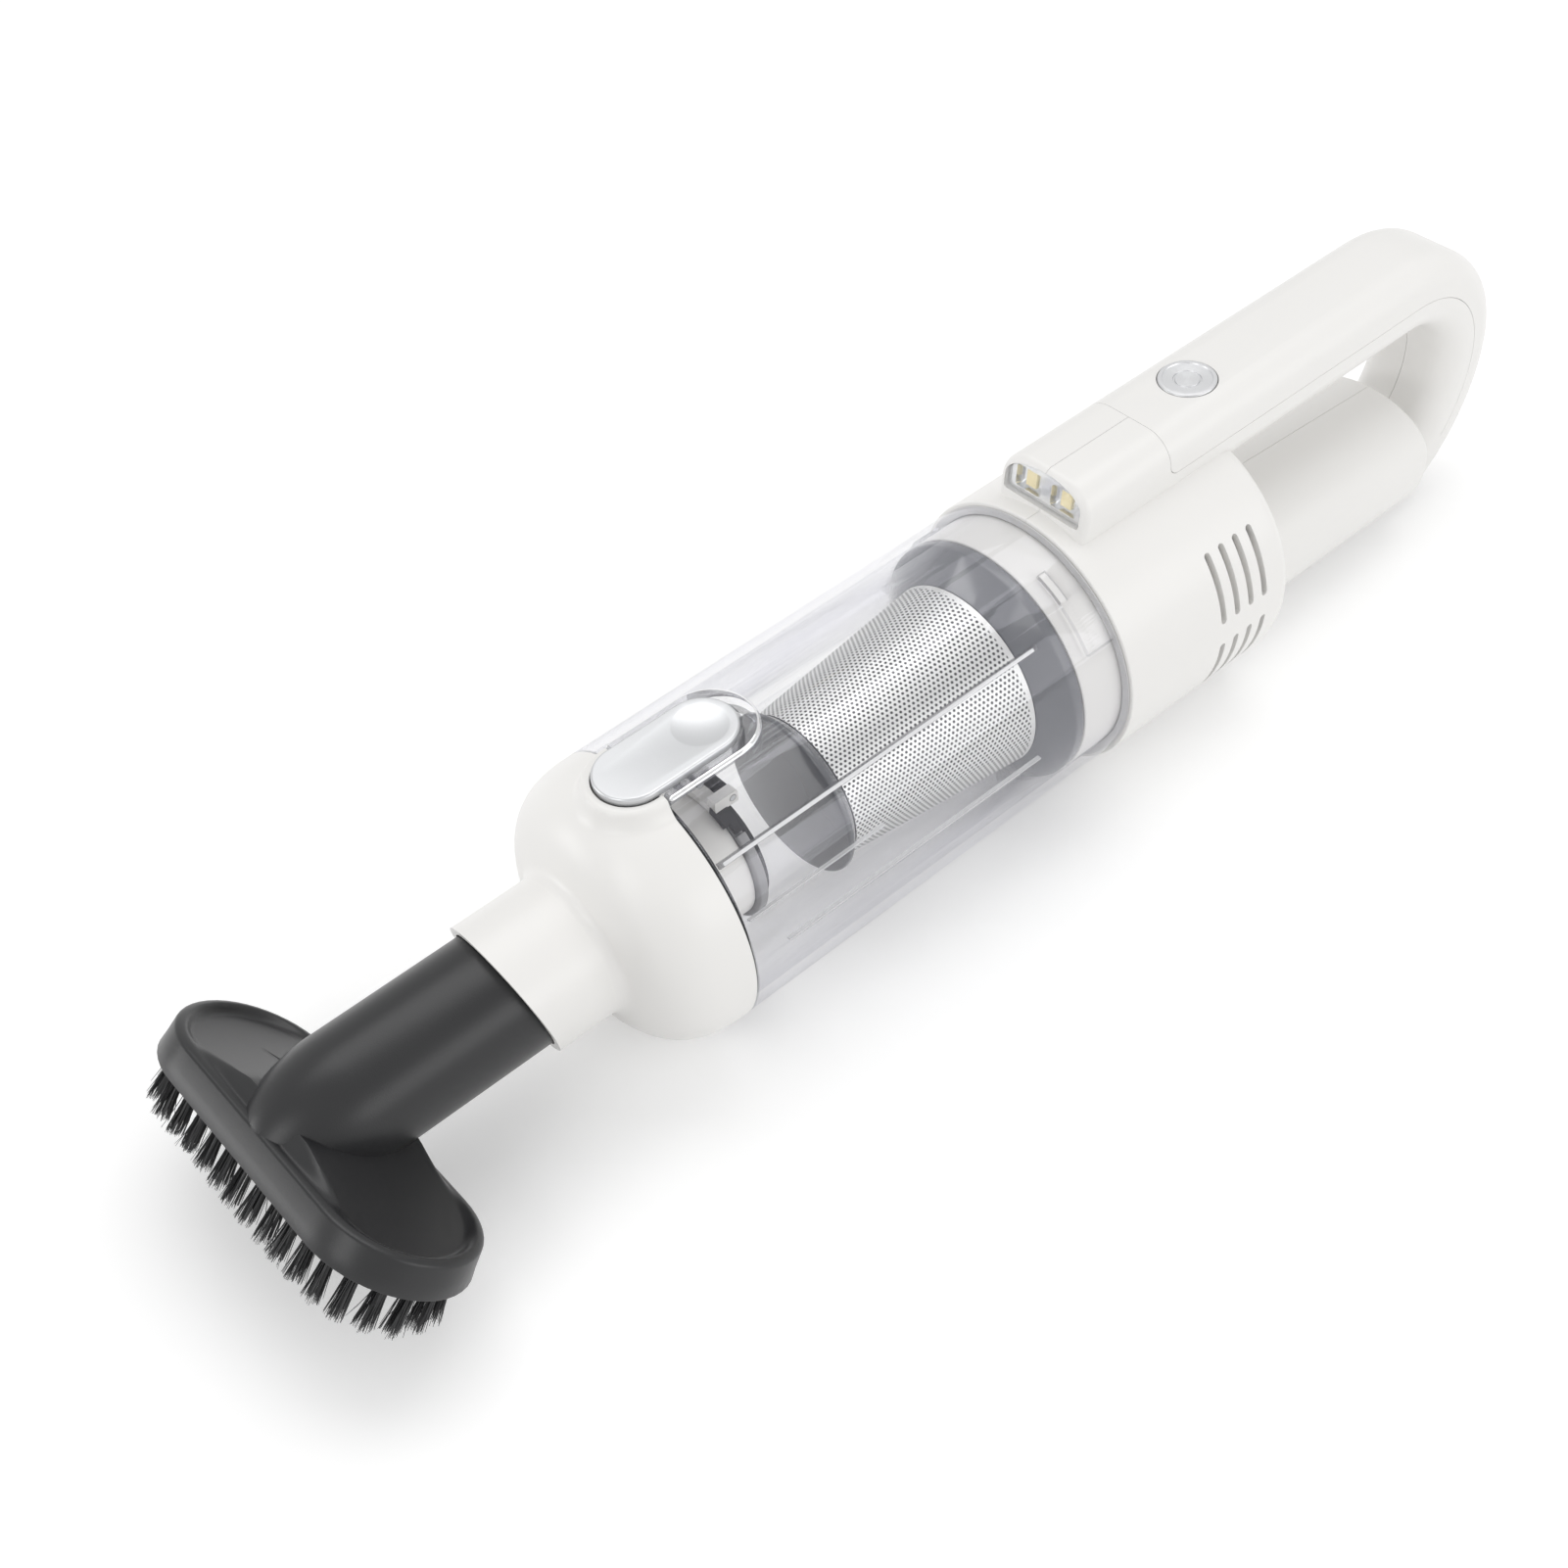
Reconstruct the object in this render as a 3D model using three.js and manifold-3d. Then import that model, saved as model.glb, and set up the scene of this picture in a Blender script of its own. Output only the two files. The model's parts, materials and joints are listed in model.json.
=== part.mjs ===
// Handheld cordless vacuum cleaner with a clear dust cup, a loop handle and a dusting brush.
// Millimetres. +X points out of the nose, +Y to the left side, +Z up to the handle.
// Every place is worked out on the body axis, where x = 0 is the seam of cap and cup.
import * as THREE from 'three';
import { mergeVertices } from 'three/addons/utils/BufferGeometryUtils.js';
import Module from 'manifold-3d';

const wasm = await Module();
wasm.setup();

// Driving dimensions. The loop's length and the pack's rear are measured from the barrel's rear.
const cupRadius = 37.5;
const cupLength = 124.5;
const cupWall = 2.4;
const barrelRadius = 38.3;
const barrelLength = 61.3;
const shellWall = 2.2;
const capDepth = 26.3;
const noseRadius = 18.9;
const noseWall = 2.1;
const noseReach = 45.2;
const gripWidth = 30;
const gripThickness = 22;
const gripCorner = 8.5;
const gripHeight = 39;
const loopLength = 75.5;
const loopRadius = 30;
const footRadius = 40;
const packWidth = 46;
const packRear = 79.5;
const cellLength = 65;
const headHalfLength = 49.3;
const headHalfWidth = 20.6;
const headReach = 95.8;

// Clearances: between touching pieces, round a running shaft, and the overrun of every cut
const gap = 0.3;
const running = 0.15;
const overrun = 400;

// How finely round shapes are cut
const roundSteps = 24;
const midSteps = 16;
const smallSteps = 12;
const pinSteps = 8;
const arcSteps = 3;
const domeSteps = 6;
const bendSteps = 4;

const degrees = Math.PI / 180;

// Finishes
function finish(color, roughness, metalness = 0, opacity = 1) {
  return new THREE.MeshStandardMaterial({ color, roughness, metalness, opacity, transparent: opacity < 1 });
}
const whitePlastic = finish(0xeeece8, 0.35);
const blackPlastic = finish(0x2e2f32, 0.5);
const bristleNylon = finish(0x161617, 0.6);
const clearPlastic = finish(0xd9d9e2, 0.08, 0, 0.3);
const smokePlastic = finish(0x4d535e, 0.12, 0, 0.7);
const steelMesh = finish(0xc8c8c6, 0.3, 1);
const silverPaint = finish(0xc4c7cb, 0.3, 0.7);
const greyPaint = finish(0xa9acaf, 0.35, 0.6);
const darkRubber = finish(0x222326, 0.8);
const greyRubber = finish(0x9a9a9c, 0.7);
const filterPaper = finish(0xe8e6df, 0.95);
const chromePlate = finish(0xe2e4e6, 0.08, 1);
const plainSteel = finish(0xa8abaf, 0.3, 1);
const cellWrap = finish(0x2f6f9a, 0.45);
const circuitBoard = finish(0x1e5b3a, 0.6);
const ledPhosphor = finish(0xf2d777, 0.4);

// Solids from three.js geometry

function solid(geometry) {
  const bare = new THREE.BufferGeometry();
  bare.setAttribute('position', geometry.getAttribute('position').clone());
  if (geometry.index) bare.setIndex(geometry.index.clone());
  const merged = mergeVertices(bare, 1e-4);
  const points = merged.getAttribute('position').array;
  const index = merged.index.array;
  const corner = (i) => new THREE.Vector3(points[3 * i], points[3 * i + 1], points[3 * i + 2]);
  const triangles = [];
  let volume = 0;
  for (let i = 0; i < index.length; i += 3) {
    const [a, b, c] = [index[i], index[i + 1], index[i + 2]];
    if (a === b || b === c || a === c) continue;
    triangles.push([a, b, c]);
    volume += corner(a).dot(corner(b).cross(corner(c)));
  }
  const outward = volume < 0 ? triangles.map(([a, b, c]) => [a, c, b]) : triangles;
  return new wasm.Manifold(new wasm.Mesh({
    numProp: 3,
    vertProperties: Float32Array.from(points),
    triVerts: Uint32Array.from(outward.flat()),
  }));
}

function join(...pieces) {
  return pieces.reduce((whole, piece) => whole.add(piece));
}

function cut(piece, ...tools) {
  return tools.reduce((left, tool) => left.subtract(tool), piece);
}

// Turned about the X axis from an outline of [x, radius] points. A flat lies at the very bottom.
function turned(outline, steps = roundSteps) {
  const points = outline.map(([x, radius]) => new THREE.Vector2(radius, x));
  const first = points[0];
  const last = points[points.length - 1];
  if (first.x > 0 || last.x > 0) points.push(first.clone());
  const geometry = new THREE.LatheGeometry(points, steps, Math.PI / steps);
  geometry.rotateZ(-Math.PI / 2);
  return solid(geometry);
}

function ring(rear, front, inner, outer, steps = roundSteps) {
  return turned([[rear, inner], [front, inner], [front, outer], [rear, outer]], steps);
}

function disc(rear, front, radius, steps = roundSteps) {
  return turned([[rear, 0], [rear, radius], [front, radius], [front, 0]], steps);
}

function block(x0, x1, y0, y1, z0, z1) {
  const geometry = new THREE.BoxGeometry(x1 - x0, y1 - y0, z1 - z0);
  geometry.translate((x0 + x1) / 2, (y0 + y1) / 2, (z0 + z1) / 2);
  return solid(geometry);
}

// A block centred on y = 0.
function slab(x0, x1, halfWidth, z0, z1) {
  return block(x0, x1, -halfWidth, halfWidth, z0, z1);
}

function extruded(shape, depth, steps) {
  return new THREE.ExtrudeGeometry(shape, { depth, bevelEnabled: false, curveSegments: steps });
}

// An outline drawn in Y and Z, carried along X.
function alongX(shape, x0, x1, steps = arcSteps, lift = 0) {
  const geometry = extruded(shape, x1 - x0, steps);
  geometry.rotateX(Math.PI / 2);
  geometry.rotateZ(Math.PI / 2);
  geometry.translate(x0, 0, lift);
  return solid(geometry);
}

// An outline drawn in X and Z, carried along Y.
function alongY(shape, y0, y1, steps = arcSteps) {
  const geometry = extruded(shape, y1 - y0, steps);
  geometry.rotateX(Math.PI / 2);
  geometry.translate(0, y1, 0);
  return solid(geometry);
}

// An outline drawn in X and Y, carried along Z, with its edges taken off by a chamfer.
function alongZ(shape, z0, z1, chamfer = 0, steps = arcSteps) {
  const geometry = new THREE.ExtrudeGeometry(shape, {
    depth: z1 - z0 - 2 * chamfer,
    bevelEnabled: chamfer > 0,
    bevelThickness: chamfer,
    bevelSize: chamfer,
    bevelOffset: -chamfer,
    bevelSegments: 1,
    curveSegments: steps,
  });
  geometry.translate(0, 0, z0 + chamfer);
  return solid(geometry);
}

function pinX(y, z, radius, x0, x1, steps = pinSteps) {
  const geometry = new THREE.CylinderGeometry(radius, radius, x1 - x0, steps);
  geometry.rotateZ(Math.PI / 2);
  geometry.translate((x0 + x1) / 2, y, z);
  return solid(geometry);
}

function pinY(x, z, radius, y0, y1, steps = pinSteps) {
  const geometry = new THREE.CylinderGeometry(radius, radius, y1 - y0, steps);
  geometry.translate(x, (y0 + y1) / 2, z);
  return solid(geometry);
}

// Turned about an upright axis at x from an outline of [radius, z] points.
function turnedUp(x, outline, steps = smallSteps) {
  const points = outline.map(([radius, z]) => new THREE.Vector2(radius, z));
  if (points[0].x > 0) points.push(points[0].clone());
  const geometry = new THREE.LatheGeometry(points, steps);
  geometry.rotateX(Math.PI / 2);
  geometry.translate(x, 0, 0);
  return solid(geometry);
}

function polygon(points) {
  return new THREE.Shape(points.map(([a, b]) => new THREE.Vector2(a, b)));
}

// A slot with two round ends, lying along the first direction.
function stadium(low, high, halfWidth) {
  const shape = new THREE.Shape();
  shape.absarc(high - halfWidth, 0, halfWidth, -Math.PI / 2, Math.PI / 2, false);
  shape.absarc(low + halfWidth, 0, halfWidth, Math.PI / 2, 1.5 * Math.PI, false);
  return shape;
}

// A rectangle with round corners, centred in the first direction.
function roundRect(halfWidth, low, high, corner) {
  const shape = new THREE.Shape();
  shape.absarc(halfWidth - corner, low + corner, corner, -Math.PI / 2, 0, false);
  shape.absarc(halfWidth - corner, high - corner, corner, 0, Math.PI / 2, false);
  shape.absarc(-halfWidth + corner, high - corner, corner, Math.PI / 2, Math.PI, false);
  shape.absarc(-halfWidth + corner, low + corner, corner, Math.PI, 1.5 * Math.PI, false);
  return shape;
}

// A wedge about the X axis between two angles, counted from the top towards the left side.
function sector(rear, front, inner, outer, from, to, steps = 2) {
  const points = [];
  for (let i = 0; i <= 2 * steps + 1; i += 1) {
    const share = i <= steps ? i / steps : (2 * steps + 1 - i) / steps;
    const radius = i <= steps ? outer : inner;
    const angle = (from + (to - from) * share) * degrees;
    points.push([radius * Math.sin(angle), radius * Math.cos(angle)]);
  }
  return alongX(polygon(points), rear, front);
}

const assembly = new THREE.Group();

function add(name, piece, material) {
  const { vertProperties, triVerts } = piece.getMesh();
  const geometry = new THREE.BufferGeometry();
  geometry.setAttribute('position', new THREE.BufferAttribute(Float32Array.from(vertProperties), 3));
  geometry.setIndex(new THREE.BufferAttribute(Uint32Array.from(triVerts), 1));
  geometry.computeVertexNormals();
  const mesh = new THREE.Mesh(geometry, material);
  mesh.name = name;
  assembly.add(mesh);
}

// Places along the body that several pieces share
const frontSealThickness = 0.4;
const rearSealThickness = 0.8;
const capBack = frontSealThickness / 2 + gap;
const cupFront = -capBack;
const cupBack = -(cupLength - rearSealThickness / 2 - gap);
const barrelFront = -(cupLength + rearSealThickness / 2 + gap);
const barrelRear = barrelFront - barrelLength;
const packEnd = barrelRear - packRear;
const packFrontRoom = 7;
const cellFront = barrelRear - packFrontRoom;
const cellRear = cellFront - cellLength;
const cupBore = cupRadius - cupWall;
const barrelBore = barrelRadius - shellWall;
const barrelFit = barrelBore * Math.cos(Math.PI / roundSteps) - gap;

// Hinge of cap and cup, at the bottom of their seam. Its knuckles end level with the barrel.
const knuckleRadius = 1.95;
const hingePinRadius = 0.9;
const capKnuckleHalfWidth = 3;
const cupKnuckleReach = 9;
const hingeNotchHalfWidth = 10.5;
const hingeNotchDepth = 2.6;
const hingeNotchHeight = 4.07;
const hingeLinkLength = 4.5;
const hingeLinkHeight = 3.77;
const cupLinkHeight = 2.77;
const knuckleStandOut = 0.472;
const hingeFloor = -cupRadius - knuckleStandOut;
const hingeNotchTop = hingeFloor + hingeNotchHeight;
const hingeLinkTop = hingeFloor + hingeLinkHeight;
const cupLinkTop = hingeFloor + cupLinkHeight;
const hingeHeight = hingeFloor + knuckleRadius;
const hingeHole = pinY(0, hingeHeight, hingePinRadius + gap, -overrun, overrun);

// Latch on the top of the cup: a long pill on a pin, pressed at its rear
const pillHalfWidth = 9.2;
const pillRear = -28.2;
const pillFront = 10.7;
const pillRise = 1.1;
const pillThickness = 2.6;
const pillChamfer = 0.7;
const dimpleRadius = 7;
const dimpleDepth = 0.8;
const dimplePlace = -19;
const pocketGap = 0.6;
const pocketRearGap = 0.9;
const pocketDepth = 3;
const latchPinRadius = 0.8;
const latchPinPlace = -9.4;
const latchPinRise = 2;
const leverHalfLength = 2.2;
const leverHalfWidth = 5;
const leverRise = 0.4;
const hookSetback = 4.2;
const hookThickness = 1.5;
const hookHalfWidth = 4;
const hookRise = 1.5;
const catchHeight = 1.1;
const catchThickness = 1.3;
const pocketHalfWidth = pillHalfWidth + pocketGap;
const pocketFloor = cupRadius - pocketDepth;
const pillBottom = cupRadius + pillRise;
const pillTop = pillBottom + pillThickness;
const latchPinHeight = pocketFloor + latchPinRise;
const leverBottom = pocketFloor + leverRise;
const hookRear = pillFront - hookSetback;
const hookFront = hookRear + hookThickness;
const hookBottom = pocketFloor + hookRise;

// Front cap: a deep dome that runs into the nose, with the latch's boss on its top
const capWall = 2.2;
const domePower = 2.8;
const noseFillet = 3;
const noseEndAngle = 12.4;
const rimDepth = 3.5;
const plateMargin = 7.5;
const plateRadius = cupRadius - plateMargin;
const bossMargin = 2.8;
const bossReach = 2.9;
const bossRise = 1.8;
const bossHalfWidth = pillHalfWidth + bossMargin;
const bossFront = pillFront + bossReach;
const bossTop = cupRadius + bossRise;
const padThickness = 2.1;
const noseBore = noseRadius - noseWall;

function domePoint(turn, depth, radius) {
  return [depth * Math.sin(turn) ** (2 / domePower), radius * Math.cos(turn) ** (2 / domePower)];
}

function domeOutline(depth, radius, endRadius, steps) {
  const endTurn = Math.acos((endRadius / radius) ** (domePower / 2));
  return Array.from({ length: steps }, (_, i) => domePoint(endTurn * (i + 1) / steps, depth, radius));
}

function filletPoints(from, corner, to, steps) {
  const curve = new THREE.QuadraticBezierCurve(
    new THREE.Vector2(...from), new THREE.Vector2(...corner), new THREE.Vector2(...to));
  return curve.getPoints(steps).slice(1).map((point) => [point.x, point.y]);
}

// Everything in front of the slanted end of the nose.
function beyondNose(shift = 0) {
  const lean = overrun * Math.tan(noseEndAngle * degrees);
  const outline = polygon([
    [noseReach + shift - lean, -overrun], [noseReach + shift + overrun, -overrun],
    [noseReach + shift + overrun, overrun], [noseReach + shift + lean, overrun],
  ]);
  return alongY(outline, -overrun, overrun);
}

function latchPocket(rear, top) {
  return alongZ(stadium(rear, pillFront + pocketGap, pocketHalfWidth), pocketFloor, top);
}

function frontCap() {
  const dome = domeOutline(capDepth, cupRadius, noseRadius + noseFillet, domeSteps);
  const domeEnd = dome[dome.length - 1];
  const noseStart = capDepth * (1 - (noseRadius / cupRadius) ** domePower) ** (1 / domePower);
  const corner = [noseStart, noseRadius];
  const fillet = filletPoints(domeEnd, corner, [noseStart + noseFillet, noseRadius], 2);
  const noseEnd = noseReach + noseRadius;
  const outer = turned([
    [capBack, 0], [capBack, cupRadius], ...dome, ...fillet, [noseEnd, noseRadius], [noseEnd, 0],
  ]);
  const inner = domeOutline(capDepth - capWall, cupRadius - capWall, noseBore, domeSteps - 3);
  const rimFront = capBack + rimDepth;
  const cavity = turned([
    [rimFront, 0], [rimFront, cupRadius - capWall],
    ...inner.filter(([x]) => x > rimFront), [inner[inner.length - 1][0], 0],
  ]);
  const boss = alongZ(stadium(-bossFront, bossFront, bossHalfWidth), pocketFloor - padThickness, bossTop)
    .subtract(slab(-overrun, capBack, overrun, -overrun, overrun));
  const catchRib = slab(hookRear - gap - catchThickness, hookRear - gap, hookHalfWidth,
    pocketFloor - padThickness, pocketFloor + catchHeight);
  const knuckle = pinY(0, hingeHeight, knuckleRadius, -capKnuckleHalfWidth, capKnuckleHalfWidth);
  const link = slab(running, hingeLinkLength, capKnuckleHalfWidth, hingeFloor, hingeLinkTop);
  const notch = slab(-overrun, hingeNotchDepth, hingeNotchHalfWidth, -overrun, hingeNotchTop);
  const shell = cut(outer,
    cavity,
    disc(-overrun, rimFront + gap, plateRadius + gap),
    disc(noseStart - noseFillet, overrun, noseBore),
    beyondNose());
  return join(
    cut(join(shell, boss), latchPocket(-overrun, overrun), notch),
    catchRib, cut(join(knuckle, link), hingeHole));
}
add('front_cap', frontCap(), whitePlastic);

// Rubber seal on the back of the cap
const sealPlateGap = 0.6;
const sealSetback = 0.5;
const skirtThickness = 1.8;
const sealInner = plateRadius + sealPlateGap;
const sealOuter = cupRadius - sealSetback;
const skirtOuter = sealInner + skirtThickness;
const skirtLength = 2.6;

function capSeal() {
  const lipFront = frontSealThickness / 2;
  const outline = [
    [lipFront, sealInner], [lipFront, sealOuter], [-lipFront, sealOuter], [-lipFront, skirtOuter],
    [-lipFront - skirtLength, skirtOuter], [-lipFront - skirtLength, sealInner],
  ];
  return cut(turned(outline), slab(-overrun, overrun, hingeNotchHalfWidth, -overrun, hingeNotchTop));
}
add('cap_seal', capSeal(), darkRubber);

// Inlet: a tube on a round back plate, a ring gasket, and a rubber flap on a pin at its top
const tubeOuter = 17.7;
const tubeWall = 2.1;
const tubeSetback = 4.8;
const tubeFront = capDepth - tubeSetback;
const tubeRear = -16;
const plateThickness = 2.2;
const gasketLength = 2.6;
const gasketLip = 0.2;
const gasketWidth = 3.6;
const gasketInner = tubeOuter - tubeWall + gasketLip;
const gasketOuter = gasketInner + gasketWidth;
const clipAngle = 46;
const clipRelief = 2;
const clipFront = -15;
const clipThickness = 2.1;
const flapSetback = 0.5;
const flapRadius = tubeOuter - flapSetback;
const flapThickness = 1.4;
const flapTongueHalfWidth = 3.5;
const flapPinRadius = 0.8;
const flapPinRise = 2.6;
const flapPinHeight = tubeOuter + flapPinRise;
const flapKnuckleRadius = 1.6;
const earWidth = 3;
const earHalfHeight = 1.8;
const earTop = flapPinHeight + earHalfHeight;
const earBottom = flapPinHeight - earHalfHeight;
const gasketRear = tubeRear - gap - gasketLength;
const flapFront = gasketRear - 2 * gap;
const flapRear = flapFront - flapThickness;
const flapPinPlace = gasketRear - flapKnuckleRadius - running;
const clipInner = tubeOuter + gap;
const clipRear = gasketRear + gap;
const earInner = flapTongueHalfWidth + gap;
const earOuter = earInner + earWidth;
const flapHole = pinY(flapPinPlace, flapPinHeight, flapPinRadius + gap, -overrun, overrun);

add('inlet_tube', turned([
  [tubeRear, tubeOuter - tubeWall], [tubeFront, tubeOuter - tubeWall], [tubeFront, tubeOuter],
  [capBack + plateThickness, tubeOuter], [capBack + plateThickness, plateRadius],
  [capBack, plateRadius], [capBack, tubeOuter], [tubeRear, tubeOuter],
], midSteps), whitePlastic);

add('inlet_gasket', cut(
  ring(gasketRear, tubeRear - gap, gasketInner, gasketOuter, midSteps),
  sector(-overrun, overrun, tubeOuter, 2 * gasketOuter, -clipAngle - clipRelief, clipAngle + clipRelief, 6)), greyRubber);

function flapClip() {
  const arc = sector(clipRear, clipFront, clipInner, clipInner + clipThickness, -clipAngle, clipAngle, 6);
  const earRear = flapPinPlace - flapKnuckleRadius;
  const ears = [-1, 1].map((side) => block(earRear, clipFront - gap,
    Math.min(side * earInner, side * earOuter), Math.max(side * earInner, side * earOuter),
    earBottom, earTop));
  return cut(join(arc, ...ears), flapHole);
}
add('flap_clip', flapClip(), darkRubber);

add('inlet_flap', cut(join(
  disc(flapRear, flapFront, flapRadius, midSteps),
  slab(flapRear, flapFront, flapTongueHalfWidth, 0, flapPinHeight),
  pinY(flapPinPlace, flapPinHeight, flapKnuckleRadius, -flapTongueHalfWidth, flapTongueHalfWidth)),
flapHole), darkRubber);
add('flap_pin', pinY(flapPinPlace, flapPinHeight, flapPinRadius, -earOuter, earOuter), plainSteel);

// Dust cup: a clear tube with inner ribs, the latch's pocket and three twist-lock slots
const ribHalfAngle = 0.8;
const ribDepth = 1.2;
const pocketBlockMargin = 3.2;
const pocketBlockSetback = 5.3;
const pocketBlockRise = 2.1;
const pocketBlockRear = pillRear - pocketBlockSetback;
const pocketBlockHalfWidth = pillHalfWidth + pocketBlockMargin;
const pocketBlockTop = cupRadius + pocketBlockRise;
const pocketFloorThickness = 1.6;
const pinSeatDepth = 1.4;
const lockWall = 1;
const lockSetback = 5.9;
const lockWidth = 2.5;
const lockRadius = cupRadius - lockWall;
const lockRear = cupBack + lockSetback;
const lockFront = lockRear + lockWidth;
const lockFromAngle = 21.4;
const lockEntryAngle = 36;
const lockToAngle = 59.7;
const lockCount = 3;
const ribRearMargin = 20;
const ribFrontMargin = 1.8;
const shortRibLength = 42;
const shortRibMargin = 2.5;
const rearRibMargin = 28.8;
const rearRibLength = 21;
const longRib = { from: cupBack + ribRearMargin, to: cupFront - ribFrontMargin, angle: 44.5 };
const shortRib = { from: cupFront - shortRibMargin - shortRibLength, to: cupFront - shortRibMargin, angle: 69.5 };
const rearRib = { from: cupBack + rearRibMargin, to: cupBack + rearRibMargin + rearRibLength, angle: 90.5 };
const farRib = { from: longRib.from, to: longRib.to, angle: -114 };

function dustCup() {
  const shell = ring(cupBack, cupFront, cupBore, cupRadius);
  const ribs = [longRib, shortRib, rearRib, farRib].map(({ from, to, angle }) => sector(
    from, to, cupBore - ribDepth, cupBore + cupWall / 2, angle - ribHalfAngle, angle + ribHalfAngle, 1));
  const pocketBlock = alongZ(stadium(pocketBlockRear, pocketBlockHalfWidth, pocketBlockHalfWidth),
    pocketFloor - pocketFloorThickness, pocketBlockTop)
    .subtract(slab(cupFront, overrun, overrun, -overrun, overrun));
  const seatHalf = pocketHalfWidth + pinSeatDepth;
  const pinSeat = pinY(latchPinPlace, latchPinHeight, latchPinRadius + gap, -seatHalf, seatHalf);
  const knuckles = [-1, 1].map((side) => {
    const [y0, y1] = [capKnuckleHalfWidth + gap, cupKnuckleReach].map((y) => side * y).sort((a, b) => a - b);
    return join(pinY(0, hingeHeight, knuckleRadius, y0, y1),
      block(-hingeLinkLength, running, y0, y1, hingeFloor, cupLinkTop));
  });
  const notch = slab(-knuckleRadius - 2 * gap, overrun, capKnuckleHalfWidth + gap, -overrun, hingeNotchTop);
  const slots = Array.from({ length: lockCount }, (_, i) => {
    const turn = 360 / lockCount * i;
    return join(
      sector(lockRear, lockFront, cupBore - cupWall, lockRadius, lockFromAngle + turn, lockToAngle + turn, 5),
      sector(-overrun, lockFront, cupBore - cupWall, lockRadius, lockEntryAngle + turn, lockToAngle + turn, 3));
  });
  return cut(join(cut(join(shell, pocketBlock), latchPocket(pillRear - pocketRearGap, overrun), pinSeat, notch),
    ...ribs, ...knuckles), hingeHole, ...slots);
}
add('dust_cup', dustCup(), clearPlastic);
const hingePinHalf = cupKnuckleReach - gap;
add('cap_hinge_pin', pinY(0, hingeHeight, hingePinRadius, -hingePinHalf, hingePinHalf), plainSteel);

// Shallow round hollow sunk in a level top face
function hollow(x, radius, depth, top, steps) {
  const outline = [[0, top + depth], [radius, top + depth]];
  for (let i = 0; i <= 2; i += 1) {
    const share = 1 - i / 2;
    outline.push([radius * share, top - depth * (1 - share * share)]);
  }
  return turnedUp(x, outline, steps);
}

function latchLever() {
  const pill = alongZ(stadium(pillRear, pillFront, pillHalfWidth), pillBottom, pillTop, pillChamfer, 8);
  const lever = slab(latchPinPlace - leverHalfLength, latchPinPlace + leverHalfLength, leverHalfWidth,
    leverBottom, pillBottom + pillChamfer);
  const hook = slab(hookRear, hookFront, hookHalfWidth, hookBottom, pillBottom + pillChamfer);
  return cut(join(pill, lever, hook),
    hollow(dimplePlace, dimpleRadius, dimpleDepth, pillTop, smallSteps),
    pinY(latchPinPlace, latchPinHeight, latchPinRadius + gap, -overrun, overrun));
}
add('latch_lever', latchLever(), silverPaint);
const latchPinHalf = pocketHalfWidth + pinSeatDepth - gap;
add('latch_pin', pinY(latchPinPlace, latchPinHeight, latchPinRadius, -latchPinHalf, latchPinHalf), plainSteel);

// A coil spring on an upright axis, with a short straight run at each end
class Helix extends THREE.Curve {
  constructor(place, radius, low, high, curls) {
    super();
    Object.assign(this, { place, radius, low, high, curls });
  }

  getPoint(share) {
    const turn = 2 * Math.PI * this.curls * share;
    return new THREE.Vector3(
      this.place + this.radius * Math.cos(turn),
      this.radius * Math.sin(turn),
      this.low + (this.high - this.low) * share);
  }
}

function coilSpring(name, place, radius, wire, low, high, curls) {
  const path = new Helix(place, radius, low + wire, high - wire, curls);
  const pitch = (high - low - 2 * wire) / curls;
  console.log(`${name}: least gap between its own turns ${(pitch - 2 * wire).toFixed(2)} mm`);
  const wireShape = new THREE.Shape();
  wireShape.absarc(0, 0, wire, 0, 2 * Math.PI, false);
  const section = polygon(wireShape.getSpacedPoints(5).slice(0, 5).map((point) => [point.x, point.y]));
  const geometry = new THREE.ExtrudeGeometry(section, { steps: 8 * curls, extrudePath: path });
  add(name, solid(geometry), plainSteel);
}

const latchSpringRadius = 2;
const latchSpringWire = 0.25;
coilSpring('latch_spring', dimplePlace, latchSpringRadius, latchSpringWire,
  pocketFloor + gap, pillBottom - gap, 3);

// Cyclone in the cup: a dark tip, a perforated steel cone and a dark dished flange
const coneFrontMargin = 45.5;
const coneRearMargin = 21.8;
const coneWallGap = 8.8;
const coneTaper = 5.7;
const coneFront = cupFront - coneFrontMargin;
const coneRear = cupBack + coneRearMargin;
const coneLargeRadius = cupBore - coneWallGap;
const coneSmallRadius = coneLargeRadius - coneTaper;
const tipLength = 4;
const tipOverhang = 2.2;
const tipFront = coneFront + tipLength;
const tipRimRadius = coneSmallRadius + tipOverhang;
const tipRimDepth = 1.4;
const tipPlugLength = 6;
const tipPlugWall = 1.8;
const coneWall = 0.8;
const flangeLength = 6;
const flangeRim = 3;
const flangeGap = 0.5;
const flangeEdge = coneRear - flangeLength;
const flangeBack = flangeEdge - flangeRim;
const flangeRadius = cupBore - flangeGap;
const flangeWall = 1.7;
const flangeSocketLength = 4;

function cycloneTip() {
  const shoulder = coneFront + gap;
  const plug = coneSmallRadius - coneWall - gap;
  const bore = plug - tipPlugWall;
  return turned([
    [tipFront, 0], [tipFront, tipRimRadius], [tipFront - tipRimDepth, tipRimRadius],
    [shoulder, coneSmallRadius], [shoulder, plug], [coneFront - tipPlugLength, plug],
    [coneFront - tipPlugLength, bore], [tipFront - tipPlugWall, bore], [tipFront - tipPlugWall, 0],
  ], midSteps);
}
add('cyclone_tip', cycloneTip(), smokePlastic);

add('mesh_cone', turned([
  [coneFront, coneSmallRadius - coneWall], [coneFront, coneSmallRadius],
  [coneRear, coneLargeRadius], [coneRear, coneLargeRadius - coneWall],
]), steelMesh);

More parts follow.
